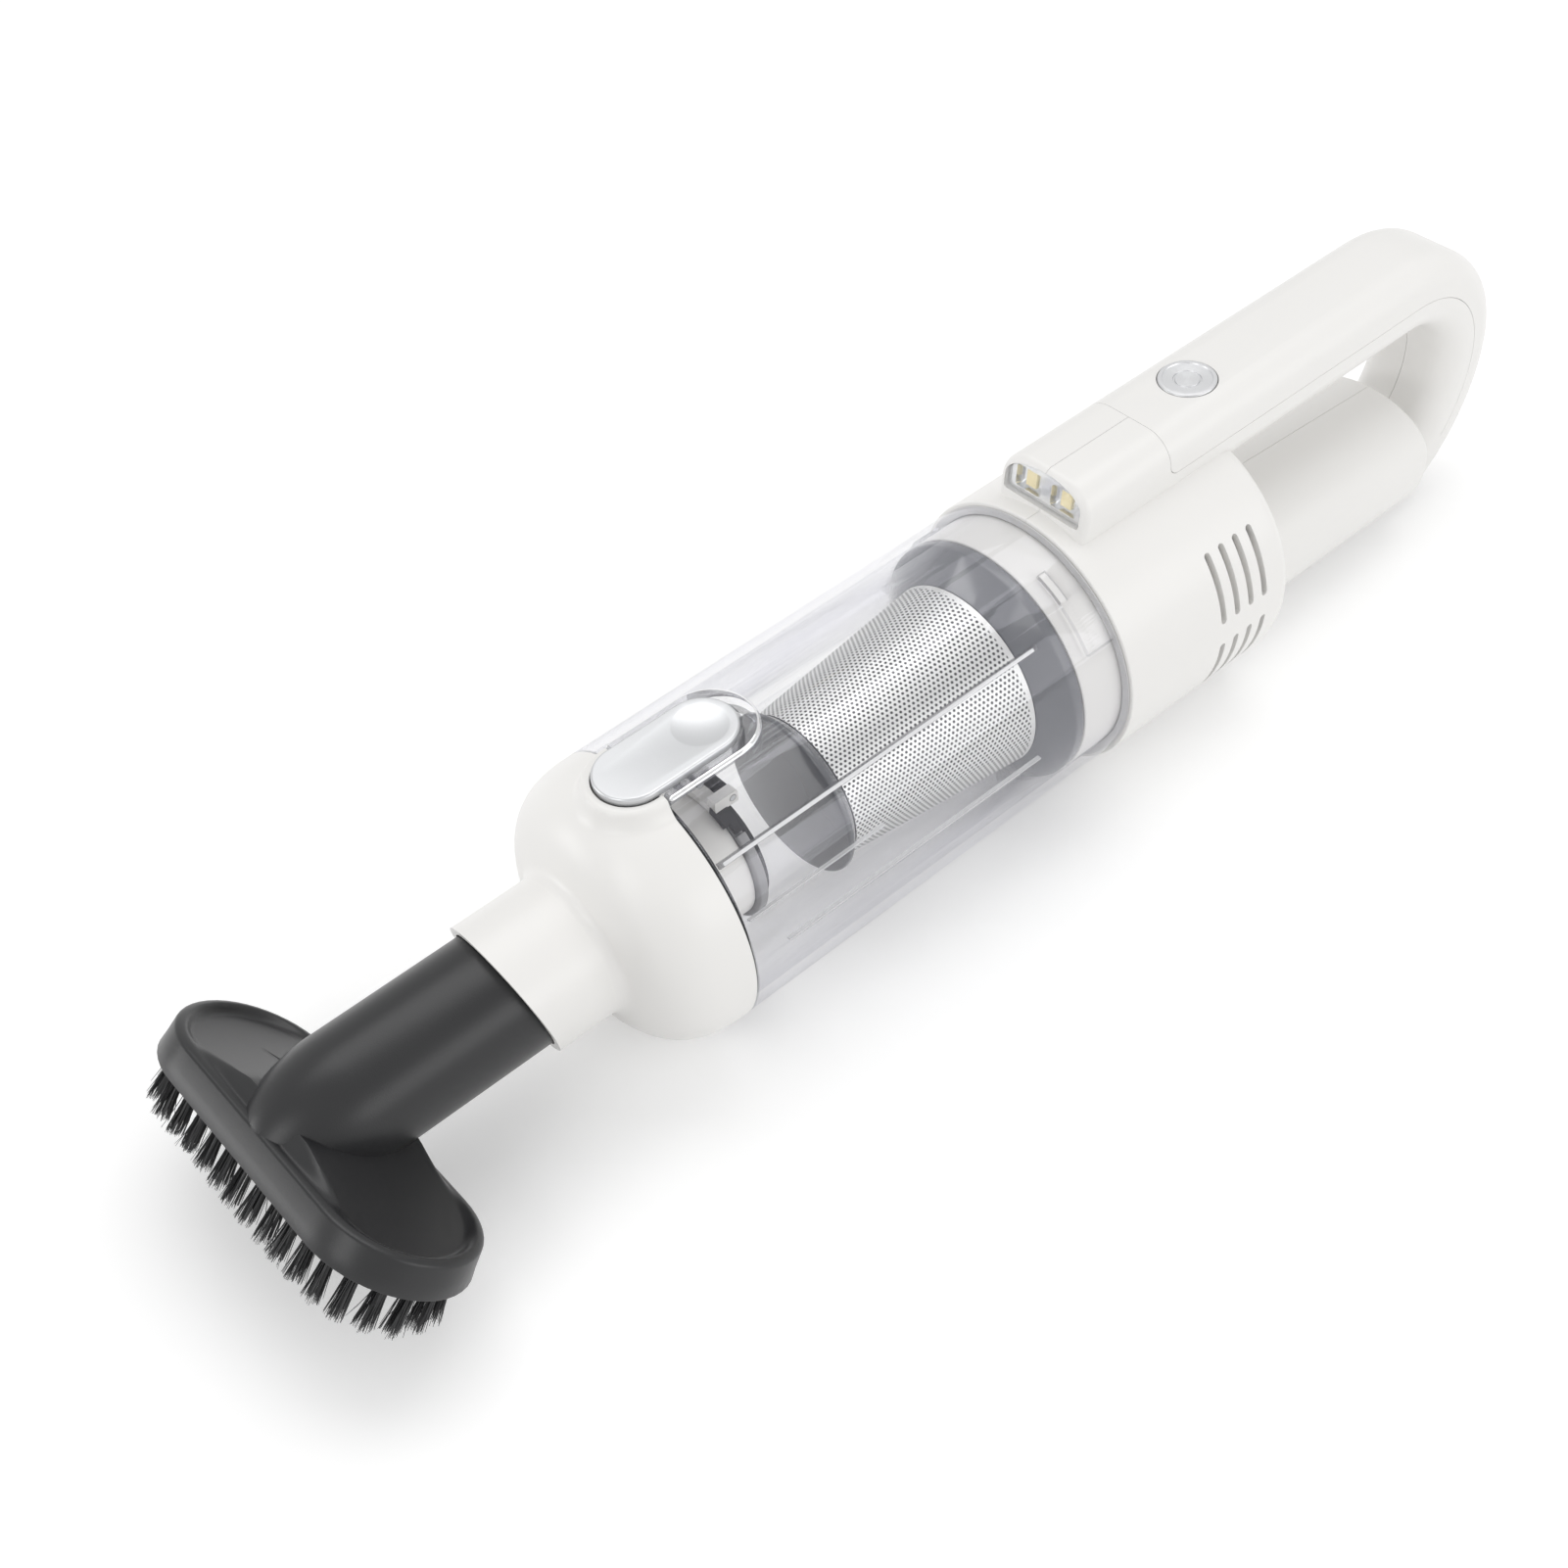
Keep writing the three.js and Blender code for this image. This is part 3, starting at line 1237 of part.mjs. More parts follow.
// Battery cells between two end plates
for (const [name, side] of [['battery_cell_left', 1], ['battery_cell_right', -1]]) {
  add(name, pinX(side * cellSpacing / 2, cellHeight, cellRadius, cellRear, cellFront, midSteps), cellWrap);
}
const cellPlateShape = roundRect(cellSpacing, cellHeight - cellRadius, cellHeight + cellRadius, cellRadius / 2);
add('cell_plate_front', alongX(cellPlateShape, cellFront + gap, cellFront + gap + cellPlateThickness), blackPlastic);
add('cell_plate_rear', alongX(cellPlateShape, cellRear - gap - cellPlateThickness, cellRear - gap), blackPlastic);

// Dusting brush: a neck in the nose, a slanted stadium head and rows of bristles
const neckRadius = 16.4;
const neckWall = 2.2;
const neckStop = 0.5;
const neckBendSetback = 7.8;
const neckRear = tubeFront + neckStop;
const neckBendStart = headReach - neckBendSetback;
const neckBendLength = 28;
const headDrop = 4.6;
const headTiltAngle = 46.6;
const skirtDepth = 7.7;
const skirtFlare = 1;
const skirtWall = 2.2;
const headPlateTop = 1.2;
const headPlateThickness = 1.8;
const mouthHalfWidth = 14.6;
const shoulderHeight = 1.3;
const shoulderWidth = 2.6;
const wingTop = 5.4;
const wingFall = 6;
const wingStart = 12;
const wingSteps = 6;
const backingThickness = 2;
const backingWidth = 3.2;
const tuftRadius = 1.1;
const tuftFanShare = 0.55;
const tuftLean = 0.9;
const strandRadius = 0.27;
const strandTipShare = 0.7;
const strandRoot = 0.6;
const bristleReach = 12;
const tuftsInRow = 9;
const tuftsInEnd = 8;
const strandsInTuft = 9;
const headStraight = headHalfLength - headHalfWidth;
const headSteps = 6;
const neckBore = neckRadius - neckWall;

// Head pieces are drawn flat, length along X, width along Y, depth upwards, then tilted into place.
function toHead(geometry) {
  const tilt = headTiltAngle * degrees;
  const matrix = new THREE.Matrix4().makeBasis(
    new THREE.Vector3(0, -1, 0),
    new THREE.Vector3(Math.sin(tilt), 0, Math.cos(tilt)),
    new THREE.Vector3(Math.cos(tilt), 0, -Math.sin(tilt)));
  matrix.setPosition(headReach, 0, -headDrop);
  geometry.applyMatrix4(matrix);
  return solid(geometry);
}

function headSlice(halfWidth, near, far, straight = headStraight, steps = headSteps) {
  const geometry = extruded(stadium(-straight - halfWidth, straight + halfWidth, halfWidth), far - near, steps);
  geometry.translate(0, 0, near);
  return toHead(geometry);
}

// The skirt widens by its flare from the rim to the lower edge.
function flaredSlice(nearHalfWidth, farHalfWidth, near, far) {
  const geometry = extruded(stadium(-headStraight - nearHalfWidth, headStraight + nearHalfWidth, nearHalfWidth),
    far - near, headSteps);
  geometry.translate(0, 0, near);
  const places = geometry.getAttribute('position');
  for (let i = 0; i < places.count; i += 1) {
    const away = (places.getZ(i) - near) / (far - near);
    const middle = Math.max(-headStraight, Math.min(headStraight, places.getX(i)));
    const grow = 1 + away * (farHalfWidth / nearHalfWidth - 1);
    places.setX(i, middle + (places.getX(i) - middle) * grow);
    places.setY(i, places.getY(i) * grow);
  }
  return toHead(geometry);
}

// The head's back swells beside the neck and falls away to both ends.
function wings() {
  const wingEnd = headHalfLength - shoulderWidth;
  const side = Array.from({ length: wingSteps + 1 }, (_, i) => {
    const share = i / wingSteps;
    return [wingStart + (wingEnd - wingStart) * share, wingTop - wingFall * Math.sin(share * Math.PI / 2)];
  });
  const low = -headPlateTop - headPlateThickness / 2;
  const mirrored = side.map(([along, height]) => [-along, height]).reverse();
  const geometry = extruded(polygon([...mirrored, ...side, [wingEnd, low], [-wingEnd, low]]), 2 * headHalfWidth, 1);
  geometry.translate(0, 0, -headHalfWidth);
  geometry.rotateX(-Math.PI / 2);
  return toHead(geometry).intersect(headSlice(headHalfWidth - skirtWall / 2, -overrun, overrun));
}

// A chamfered band stands round the edge of the head's back.
function shoulder() {
  return cut(flaredSlice(headHalfWidth - shoulderHeight, headHalfWidth, -shoulderHeight, 0),
    headSlice(headHalfWidth - shoulderWidth, -overrun, overrun));
}

function neckSolid(radius, rear) {
  const outline = [[rear, 0], [rear, radius], [neckBendStart, radius]];
  for (let i = 1; i <= bendSteps; i += 1) {
    const turn = Math.PI / 2 * i / bendSteps;
    outline.push([neckBendStart + neckBendLength * Math.sin(turn), radius * Math.cos(turn)]);
  }
  outline[outline.length - 1][1] = 0;
  return turned(outline, midSteps);
}

function brushHead() {
  const plateFar = headPlateTop + headPlateThickness;
  const belowPlate = headSlice(overrun, headPlateTop + headPlateThickness / 2, overrun);
  const skirt = cut(flaredSlice(headHalfWidth, headHalfWidth + skirtFlare, 0, skirtDepth),
    headSlice(headHalfWidth - skirtWall, -gap, skirtDepth + gap));
  const plate = headSlice(headHalfWidth - skirtWall / 2, headPlateTop, plateFar);
  const bore = neckSolid(neckBore, neckRear - gap);
  const mouth = headSlice(mouthHalfWidth, -overrun, plateFar + gap, 0);
  const aboveRim = headSlice(overrun, -overrun, 0);
  return cut(join(neckSolid(neckRadius, neckRear).subtract(belowPlate), skirt, plate, shoulder(), wings()),
    join(bore.intersect(aboveRim), bore.intersect(mouth)));
}
add('brush_head', brushHead(), blackPlastic);

// Places of the tufts on one straight side or one round end, each with its way out
function rowTufts(side) {
  const radius = headHalfWidth - skirtWall - gap - backingWidth / 2;
  return Array.from({ length: tuftsInRow }, (_, i) => ({
    x: headStraight * 2 * ((i + 0.5) / tuftsInRow - 0.5), y: side * radius, outX: 0, outY: side,
  }));
}

function endTufts(side) {
  const radius = headHalfWidth - skirtWall - gap - backingWidth / 2;
  return Array.from({ length: tuftsInEnd }, (_, i) => {
    const turn = Math.PI * ((i + 0.5) / tuftsInEnd - 0.5);
    const [outX, outY] = [side * Math.cos(turn), Math.sin(turn)];
    return { x: side * headStraight + radius * outX, y: radius * outY, outX, outY };
  });
}

const strandSection = polygon([0, 1, 2].map((i) => [
  strandRadius * Math.cos(2 * Math.PI * i / 3), strandRadius * Math.sin(2 * Math.PI * i / 3)]));

// A tuft's strands stand in a ring round a middle one and fan out evenly, so none cross.
function tuft({ x, y, outX, outY }, near, far) {
  const strands = [];
  for (let i = 0; i < strandsInTuft; i += 1) {
    const reach = i === 0 ? 0 : tuftRadius;
    const turn = 2 * Math.PI * i / (strandsInTuft - 1);
    const [offX, offY] = [reach * Math.cos(turn), reach * Math.sin(turn)];
    const geometry = extruded(strandSection, far - near, 1);
    geometry.translate(0, 0, near);
    const places = geometry.getAttribute('position');
    for (let k = 0; k < places.count; k += 1) {
      const share = (places.getZ(k) - near) / (far - near);
      const size = 1 - share * (1 - strandTipShare);
      const spread = 1 + tuftFanShare * share;
      places.setX(k, places.getX(k) * size + x + offX * spread + tuftLean * outX * share);
      places.setY(k, places.getY(k) * size + y + offY * spread + tuftLean * outY * share);
    }
    strands.push(toHead(geometry));
  }
  return join(...strands);
}

const backingNear = headPlateTop + headPlateThickness + gap;
const backingFar = backingNear + backingThickness;
const backingOuter = headHalfWidth - skirtWall - gap;

function backingRing() {
  return cut(headSlice(backingOuter, backingNear, backingFar),
    headSlice(backingOuter - backingWidth, backingNear - gap, backingFar + gap));
}

function bristles(name, tufts, keep) {
  const strands = tufts.map((place) => tuft(place, backingFar - strandRoot, skirtDepth + bristleReach));
  add(name, join(backingRing().intersect(keep), ...strands), bristleNylon);
}

function headBox(x0, x1, y0, y1) {
  const geometry = new THREE.BoxGeometry(x1 - x0, y1 - y0, overrun);
  geometry.translate((x0 + x1) / 2, (y0 + y1) / 2, 0);
  return toHead(geometry);
}

const rowEnd = headStraight - gap / 2;
const endStart = headStraight + gap / 2;
bristles('bristle_row_front', rowTufts(1), headBox(-rowEnd, rowEnd, 0, overrun));
bristles('bristle_row_rear', rowTufts(-1), headBox(-rowEnd, rowEnd, -overrun, 0));
bristles('bristle_end_right', endTufts(1), headBox(endStart, overrun, -overrun, overrun));
bristles('bristle_end_left', endTufts(-1), headBox(-overrun, -endStart, -overrun, overrun));

// The origin lies under the middle of the whole, on the surface that it rests on
const extent = new THREE.Box3().setFromObject(assembly);
const middle = extent.getCenter(new THREE.Vector3());
assembly.position.set(-middle.x, -middle.y, -extent.min.z);

export default assembly;
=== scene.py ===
# %% [markdown]
# # Dressing a cordless hand vacuum
# The frame holds every piece at its real size and place, as coarse faceted solids. This script
# makes the surfaces that the eye sees: turned shells, a swept loop handle, a clear cup with a steel
# cone inside, and a slanted brush with thousands of filaments.

# %% Load the frame
import json
import random
from math import acos, asin, atan2, cos, degrees, hypot, pi, radians, sin, sqrt, tan

import bmesh
import bpy
from mathutils import Matrix, Vector


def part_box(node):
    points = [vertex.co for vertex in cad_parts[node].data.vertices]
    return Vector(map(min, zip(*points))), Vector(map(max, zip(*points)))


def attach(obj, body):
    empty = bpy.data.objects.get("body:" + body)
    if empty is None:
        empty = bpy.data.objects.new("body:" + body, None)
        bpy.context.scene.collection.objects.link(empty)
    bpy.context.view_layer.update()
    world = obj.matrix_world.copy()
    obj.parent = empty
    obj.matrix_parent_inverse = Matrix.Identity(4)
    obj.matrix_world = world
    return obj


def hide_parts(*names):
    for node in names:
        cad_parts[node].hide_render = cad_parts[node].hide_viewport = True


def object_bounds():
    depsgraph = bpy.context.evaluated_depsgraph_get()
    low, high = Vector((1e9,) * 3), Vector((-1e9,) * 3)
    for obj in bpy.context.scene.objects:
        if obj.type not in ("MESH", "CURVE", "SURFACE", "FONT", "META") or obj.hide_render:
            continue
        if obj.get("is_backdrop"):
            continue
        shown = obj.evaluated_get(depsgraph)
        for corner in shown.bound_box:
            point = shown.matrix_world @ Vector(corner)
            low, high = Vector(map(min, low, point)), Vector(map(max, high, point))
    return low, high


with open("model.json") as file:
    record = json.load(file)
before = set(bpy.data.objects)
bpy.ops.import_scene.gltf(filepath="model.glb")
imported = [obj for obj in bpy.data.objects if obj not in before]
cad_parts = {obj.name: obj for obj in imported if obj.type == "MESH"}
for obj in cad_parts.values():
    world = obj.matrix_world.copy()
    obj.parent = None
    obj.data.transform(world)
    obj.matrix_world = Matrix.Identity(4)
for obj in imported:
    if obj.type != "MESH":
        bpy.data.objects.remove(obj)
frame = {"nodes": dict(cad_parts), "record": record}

cad_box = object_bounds()

# %% [markdown]
# The real cleaner is round about one long axis, so everything is drawn on that axis: X runs out of
# the nose and is zero at the seam of cap and cup, Y is the left side, Z is the handle side. Drawing
# in millimetres keeps bevels and booleans at sizes a maker would say aloud. One matrix at the end
# brings a finished mesh into the frame's metres, so its object can stay at the origin.

# %% The body axis, read from the frame
MM = 0.001
SEAL_HALF = 0.2
cone_low, cone_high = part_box("mesh_cone")
axis_height = (cone_low.z + cone_high.z) / 2
seam_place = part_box("cap_seal")[1].x - SEAL_HALF * MM
TO_FRAME = Matrix.Translation((seam_place, 0, axis_height)) @ Matrix.Scale(MM, 4)


def at(x, y=0.0, z=0.0):
    """A point on the body's axis in millimetres, as a place in the frame."""
    return TO_FRAME @ Vector((x, y, z))


def stand(name, data):
    """A new object in the scene."""
    thing = bpy.data.objects.new(name, data)
    bpy.context.scene.collection.objects.link(thing)
    return thing


print("body axis: seam at x =", round(seam_place, 4), "m, height", round(axis_height, 4), "m")

# %% [markdown]
# The camera comes first. It stands in front of the cleaner, to its left and high above it, with the
# nose nearest, as in the photograph. Its three directions were solved from the round seams.

# %% Camera
CAMERA_PLACE = (172.7, 291.6, 386.5)
CAMERA_RIGHT = Vector((-0.75414, 0.6523, -0.0763))
CAMERA_DOWN = Vector((0.51599, 0.5167, -0.6832))
LENS, SENSOR = 49.0, 36.0
NEAR_CLIP, FAR_CLIP = 0.01, 20.0
CUP_MIDDLE = -60

camera = stand("camera", bpy.data.cameras.new("camera"))
camera.data.lens, camera.data.sensor_width = LENS, SENSOR
camera.data.clip_start, camera.data.clip_end = NEAR_CLIP, FAR_CLIP
up = -CAMERA_DOWN.normalized()
right = (CAMERA_RIGHT - up * CAMERA_RIGHT.dot(up)).normalized()
directions = Matrix((right, up, right.cross(up))).transposed().to_4x4()
camera.matrix_world = Matrix.Translation(at(*CAMERA_PLACE)) @ directions
bpy.context.scene.camera = camera
bpy.context.scene.view_settings.view_transform = "Standard"
print("camera stands", round((camera.location - at(CUP_MIDDLE)).length, 3), "m from the cup")

# %% [markdown]
# ## Shader maths as plain expressions
# A material is a little calculation over the surface. A wrapped socket lets that calculation be
# written as Python: each operator adds one Math node, and every other node comes from one method.


# %% Wrapped sockets and the node builder
class Value:
    """A number that varies over a surface, such as a height or a mask."""

    def __init__(self, nodes, socket):
        self.nodes = nodes
        self.socket = socket

    def __add__(self, other):
        return self.nodes.maths("ADD", self, other)

    def __radd__(self, other):
        return self.nodes.maths("ADD", other, self)

    def __sub__(self, other):
        return self.nodes.maths("SUBTRACT", self, other)

    def __rsub__(self, other):
        return self.nodes.maths("SUBTRACT", other, self)

    def __mul__(self, other):
        return self.nodes.maths("MULTIPLY", self, other)

    def __rmul__(self, other):
        return self.nodes.maths("MULTIPLY", other, self)

    def __pow__(self, other):
        return self.nodes.maths("POWER", self, other)


class Nodes:
    """A tree of shader nodes. Each method adds to it and hands back a wrapped output."""

    def __init__(self, tree):
        self.tree = tree

    def node(self, kind, settings=None, inputs=None, output=0):
        made = self.tree.nodes.new(kind)
        for name, setting in (settings or {}).items():
            setattr(made, name, setting)
        for name, value in (inputs or {}).items():
            self.feed(made.inputs[name], value)
        return Value(self, made.outputs[output]) if made.outputs else None

    def feed(self, socket, value):
        """Links a varying value, or sets a fixed one. A fixed colour is red, green and blue."""
        if isinstance(value, Value):
            self.tree.links.new(value.socket, socket)
        else:
            socket.default_value = (*value, 1.0) if socket.type == "RGBA" else value

    def maths(self, operation, first, second=0.0):
        return self.node("ShaderNodeMath", {"operation": operation}, {0: first, 1: second})

    def vector(self, operation, first, second=(0.0, 0.0, 0.0), output="Vector"):
        inputs = {0: first, "Scale" if operation == "SCALE" else 1: second}
        return self.node("ShaderNodeVectorMath", {"operation": operation}, inputs, output)

    def mix(self, share, first, second):
        return self.node("ShaderNodeMix", {"data_type": "RGBA"}, {0: share, 6: first, 7: second}, 2)

    def marked(self, name):
        """The number that a piece's faces carry under this name."""
        return self.node("ShaderNodeAttribute", {"attribute_name": name}, output="Fac")

    def seen(self):
        """One for rays of the camera, of gloss and through clear plastic, and nought for lighting."""
        eye, gloss, through = (self.node("ShaderNodeLightPath", output=f"Is {kind} Ray")
                               for kind in ("Camera", "Glossy", "Transmission"))
        return self.maths("MAXIMUM", self.maths("MAXIMUM", eye, gloss), through)


FINISHES = {}


class Finish(Nodes):
    """A material, kept under its name. Its sockets are written with _ for a space."""

    def __init__(self, name, **fixed):
        FINISHES[name] = self.material = bpy.data.materials.new(name)
        self.material.use_nodes = True
        super().__init__(self.material.node_tree)
        self.shader = self.tree.nodes["Principled BSDF"]
        self.surface(**fixed)

    def surface(self, **inputs):
        for socket, value in inputs.items():
            self.feed(self.shader.inputs[socket.replace("_", " ")], value)

    def place(self, scale):
        """Object coordinates in millimetres, times a scale."""
        spot = self.node("ShaderNodeTexCoord", output="Object")
        return self.vector("SCALE", spot, scale / MM)

    def noise(self, size, detail=2.0, stretch=None):
        """Soft random variation, with patches of about this size in millimetres."""
        spot = self.place(1.0 / size)
        if stretch:
            spot = self.vector("MULTIPLY", spot, stretch)
        return self.node("ShaderNodeTexNoise", inputs={"Vector": spot, "Scale": 1.0, "Detail": detail})

    def bump(self, height, depth, strength):
        """Feeds the normal from a height of 0 to 1 that stands for a depth in millimetres."""
        self.surface(Normal=self.node("ShaderNodeBump", inputs={
            "Height": height, "Distance": depth * MM, "Strength": strength}))


def shaded(tone, share):
    return tuple(share * part for part in tone)


def two_tone(name, light, dark, patches, gloss, wear=None, skin=None, **fixed):
    """Two close colours that drift in patches (size, detail, stretch).

    Gloss is a roughness and how much more it gets with the patches, or with wear, a noise of its own.
    A skin of small bumps is (noise, depth in millimetres, strength).
    """
    finish = Finish(name, **fixed)
    drift = finish.noise(*patches)
    least, more = gloss
    if skin:
        grain, depth, strength = skin
        finish.bump(finish.noise(*grain), depth, strength)
    finish.surface(Base_Color=finish.mix(drift, light, dark),
                   Roughness=least + more * (finish.noise(*wear) if wear else drift))


# %% [markdown]
# The white shell is polished ABS: nearly smooth, with a faint orange-peel skin, and a touch
# warmer than paper. The colour drifts by a percent over a few centimetres, as moulded white does,
# and the gloss breaks up slightly where hands polish it.

# %% White moulded plastic
WHITE = (0.865, 0.855, 0.835)
two_tone("white_plastic", WHITE, shaded(WHITE, 0.975), (38.0, 3.0), (0.33, 0.09), wear=(9.0, 4.0),
         skin=((1.6, 2.0), 0.02, 0.35), Specular_IOR_Level=0.45, Coat_Weight=0.12, Coat_Roughness=0.2)

# %% [markdown]
# The nozzle is spark-eroded black plastic. Its grain is about a third of a millimetre, and where it
# is deepest the gloss is lowest, so the light along the neck breaks up. Bristles are extruded nylon:
# each filament differs a little from the next, so the colour is speckled finely across a tuft.

# %% Grained black plastic and nylon filament
BLACK_GRAIN = (0.33, 3.0)
two_tone("black_plastic", (0.011, 0.0112, 0.0125), (0.017, 0.0173, 0.0185), (16.0, 3.0), (0.27, 0.12),
         wear=BLACK_GRAIN, skin=(BLACK_GRAIN, 0.05, 0.45))
two_tone("bristle_nylon", (0.008, 0.008, 0.009), (0.03, 0.03, 0.032), (0.5, 2.0), (0.34, 0.2))

# %% [markdown]
# The clear cup is a thin wall of polycarbonate. From straight on it lets nearly all light through
# and mirrors about a twentieth, and at its edges it mirrors nearly everything. A bright mirror whose
# alpha follows that law gives both at once, without the noise and the dark inside of true refraction.
# A cut edge or a rib is different: light runs along inside it, so it shows as a grey or a white line.
# These lines are painted: grey painted shade on cut edges, white painted highlight on ribs and on the
# latch block's upper edge. Such faces are marked with a number when the piece is made, and the finish
# reads that mark.


# %% Clear and smoke-dark plastic
def edge_mirror(finish):
    """How much a smooth plastic face mirrors, from little seen straight on to all at its edge."""
    facing = finish.node("ShaderNodeLayerWeight", inputs={"Blend": 0.5}, output="Facing")
    return 0.04 + 0.96 * facing ** 5.0


def clear_plastic(name, film, tint, haze=0.0):
    finish = Finish(name, Metallic=1.0, Roughness=0.04)
    edge, cut_edge_shade, lit = edge_mirror(finish), finish.marked("cut_edge_shade"), finish.marked("lit")
    alpha = film + haze * finish.noise(7.0, 4.0) + 0.75 * edge + 0.45 * cut_edge_shade + 0.75 * lit
    # The tint darkens towards the edges: a painted shade of the wall seen edge-on. The cut-edge mark
    # paints grey shade.
    shade = finish.mix(edge, tint, shaded(tint, 0.92))
    shade = finish.mix(cut_edge_shade, shade, (0.30, 0.305, 0.325))
    # Painted highlight: white where the lit mark is set.
    shade = finish.mix(lit, shade, (0.93, 0.93, 0.94))
    finish.surface(Base_Color=shade, Alpha=finish.maths("MINIMUM", alpha, 1.0))


def rib_highlight_plastic(name, cover):
    finish = Finish(name, Roughness=0.1, Coat_Weight=1.0, Coat_Roughness=0.05)
    # The rib's white is a painted highlight that drifts a little. Its cut-edge faces are dark painted
    # shade.
    cut_edge_shade, highlight_drift = finish.marked("cut_edge_shade"), finish.noise(6.0, 3.0)
    light = finish.mix(highlight_drift, (0.95, 0.95, 0.955), (0.90, 0.90, 0.91))
    finish.surface(Base_Color=finish.mix(cut_edge_shade, light, (0.10, 0.102, 0.11)),
                   Alpha=(cover + 0.06 * highlight_drift) * (1.0 - 0.5 * cut_edge_shade))


def smoke_plastic(name, thin, thick, cover, coat):
    finish = Finish(name, Roughness=0.14, Coat_Weight=coat, Coat_Roughness=0.06)
    cloud = finish.noise(14.0, 3.0)
    alpha = cover + 0.08 * cloud + 0.4 * edge_mirror(finish)
    finish.surface(Base_Color=finish.mix(cloud, thin, thick), Alpha=finish.maths("MINIMUM", alpha, 1.0))


clear_plastic("clear_plastic", 0.02, (0.72, 0.72, 0.78), 0.008)
clear_plastic("lens_plastic", 0.06, (0.93, 0.93, 0.94))
rib_highlight_plastic("rib_highlight_plastic", 0.9)
rib_highlight_plastic("faint_rib_highlight_plastic", 0.4)
smoke_plastic("smoke_plastic", (0.058, 0.063, 0.072), (0.085, 0.09, 0.10), 0.93, 0.8)
smoke_plastic("flange_plastic", (0.14, 0.146, 0.162), (0.17, 0.176, 0.192), 1.0, 0.3)

# %% [markdown]
# The cone is a rolled sheet of perforated steel. The holes keep an even triangular grid because the
# sheet was flat before it was rolled, so the pattern follows a UV map that unrolls the cone.
# A narrow plain band is left along both rims. The holes are not cut through: each is painted near
# black, a painted shade for the dim inside of the cone seen through it.

# %% Perforated steel
HOLE_PITCH = 1.35
HOLE_SHARE, HOLE_BLUR = 0.27, 0.04
ROW_HEIGHT = sqrt(3.0)


def steel_mesh():
    finish = Finish("steel_mesh")
    flat = finish.node("ShaderNodeUVMap", {"uv_map": "sheet"})
    grid = finish.vector("MULTIPLY", flat, (1.0 / HOLE_PITCH, 1.0 / (HOLE_PITCH * ROW_HEIGHT), 0.0))
    distances = []
    for shift in (0.0, 0.5):
        cell = finish.vector("FRACTION", finish.vector("ADD", grid, (shift, shift, 0.0)))
        centred = finish.vector("SUBTRACT", cell, (0.5, 0.5, 0.0))
        true = finish.vector("MULTIPLY", centred, (1.0, ROW_HEIGHT, 0.0))
        distances.append(finish.vector("LENGTH", true, output="Value"))
    hole = finish.node("ShaderNodeMapRange", {"interpolation_type": "SMOOTHSTEP"}, {
        "Value": finish.maths("MINIMUM", *distances),
        "From Min": HOLE_SHARE + HOLE_BLUR, "From Max": HOLE_SHARE - HOLE_BLUR})
    hole = hole * finish.marked("punched")
    brushed = finish.noise(2.2, 2.0, (0.05, 1.0, 1.0))
    steel = finish.mix(brushed, (0.82, 0.82, 0.815), (0.70, 0.70, 0.70))
    finish.bump(1.0 - hole, 0.12, 0.5)
    # Painted shade: each hole is near black where the cone's dim inside would show through.
    finish.surface(Base_Color=finish.mix(hole, steel, (0.05, 0.05, 0.053)), Metallic=1.0 - 0.9 * hole,
                   Roughness=0.42 + 0.1 * brushed + 0.3 * hole)


steel_mesh()

# %% [markdown]
# The latch is moulded plastic under satin silver paint: tiny flakes give it a soft metal look that
# is not quite a mirror. The power button wears a brighter coat of the same, cut by fine turned rings.

# %% Silver paints
BUTTON_PLACE = -183.5
RING_PITCH = 0.35


def silver_paint(name, light, dark, rings_about=None):
    finish = Finish(name, Coat_Weight=0.3, Coat_Roughness=0.15)
    flake = finish.noise(0.28)
    if rings_about is None:
        finish.bump(flake, 0.01, 0.3)
    else:
        out = finish.vector("SUBTRACT", finish.node("ShaderNodeTexCoord", output="Object"), rings_about)
        reach = finish.vector("LENGTH", finish.vector("MULTIPLY", out, (1.0, 1.0, 0.0)), output="Value")
        waves = finish.maths("SINE", reach * (2.0 * pi / (RING_PITCH * MM)))
        finish.bump(0.5 + 0.5 * waves, 0.03, 0.6)
    finish.surface(Base_Color=finish.mix(0.5 * flake + 0.5 * finish.noise(11.0), light, dark),
                   Metallic=0.72 + 0.1 * flake, Roughness=0.3 + 0.1 * flake)


silver_paint("silver_paint", (0.67, 0.678, 0.69), (0.60, 0.608, 0.62))
silver_paint("grey_paint", (0.72, 0.725, 0.735), (0.64, 0.645, 0.655), at(BUTTON_PLACE))

# %% [markdown]
# The rest are small or inner finishes, but none is a flat colour: rubber has a dusty bloom, paper
# has fibres, bright steel has draw marks, the circuit boards have copper areas under green lacquer
# and the cells' wrap drifts in shade.

# %% Rubber, metal, paper, wrap, board and light chips
for name, tone, dusty in (("dark_rubber", (0.016, 0.016, 0.018), (0.034, 0.034, 0.036)),
                          ("grey_rubber", (0.30, 0.30, 0.31), (0.38, 0.38, 0.39)),
                          ("pale_rubber", (0.62, 0.62, 0.62), (0.70, 0.70, 0.70)),
                          ("magnet_ferrite", (0.05, 0.05, 0.052), (0.08, 0.08, 0.082))):
    two_tone(name, tone, dusty, (3.0, 4.0), (0.62, 0.2), skin=((0.5, 2.0), 0.03, 0.5),
             Specular_IOR_Level=0.3)
for name, tone, least, size in (("chrome_plate", (0.82, 0.83, 0.84), 0.06, 3.0),
                                ("plain_steel", (0.56, 0.57, 0.58), 0.24, 0.8)):
    two_tone(name, tone, shaded(tone, 0.85), (size, 3.0, (0.1, 1.0, 1.0)), (least, 0.12), Metallic=1.0)
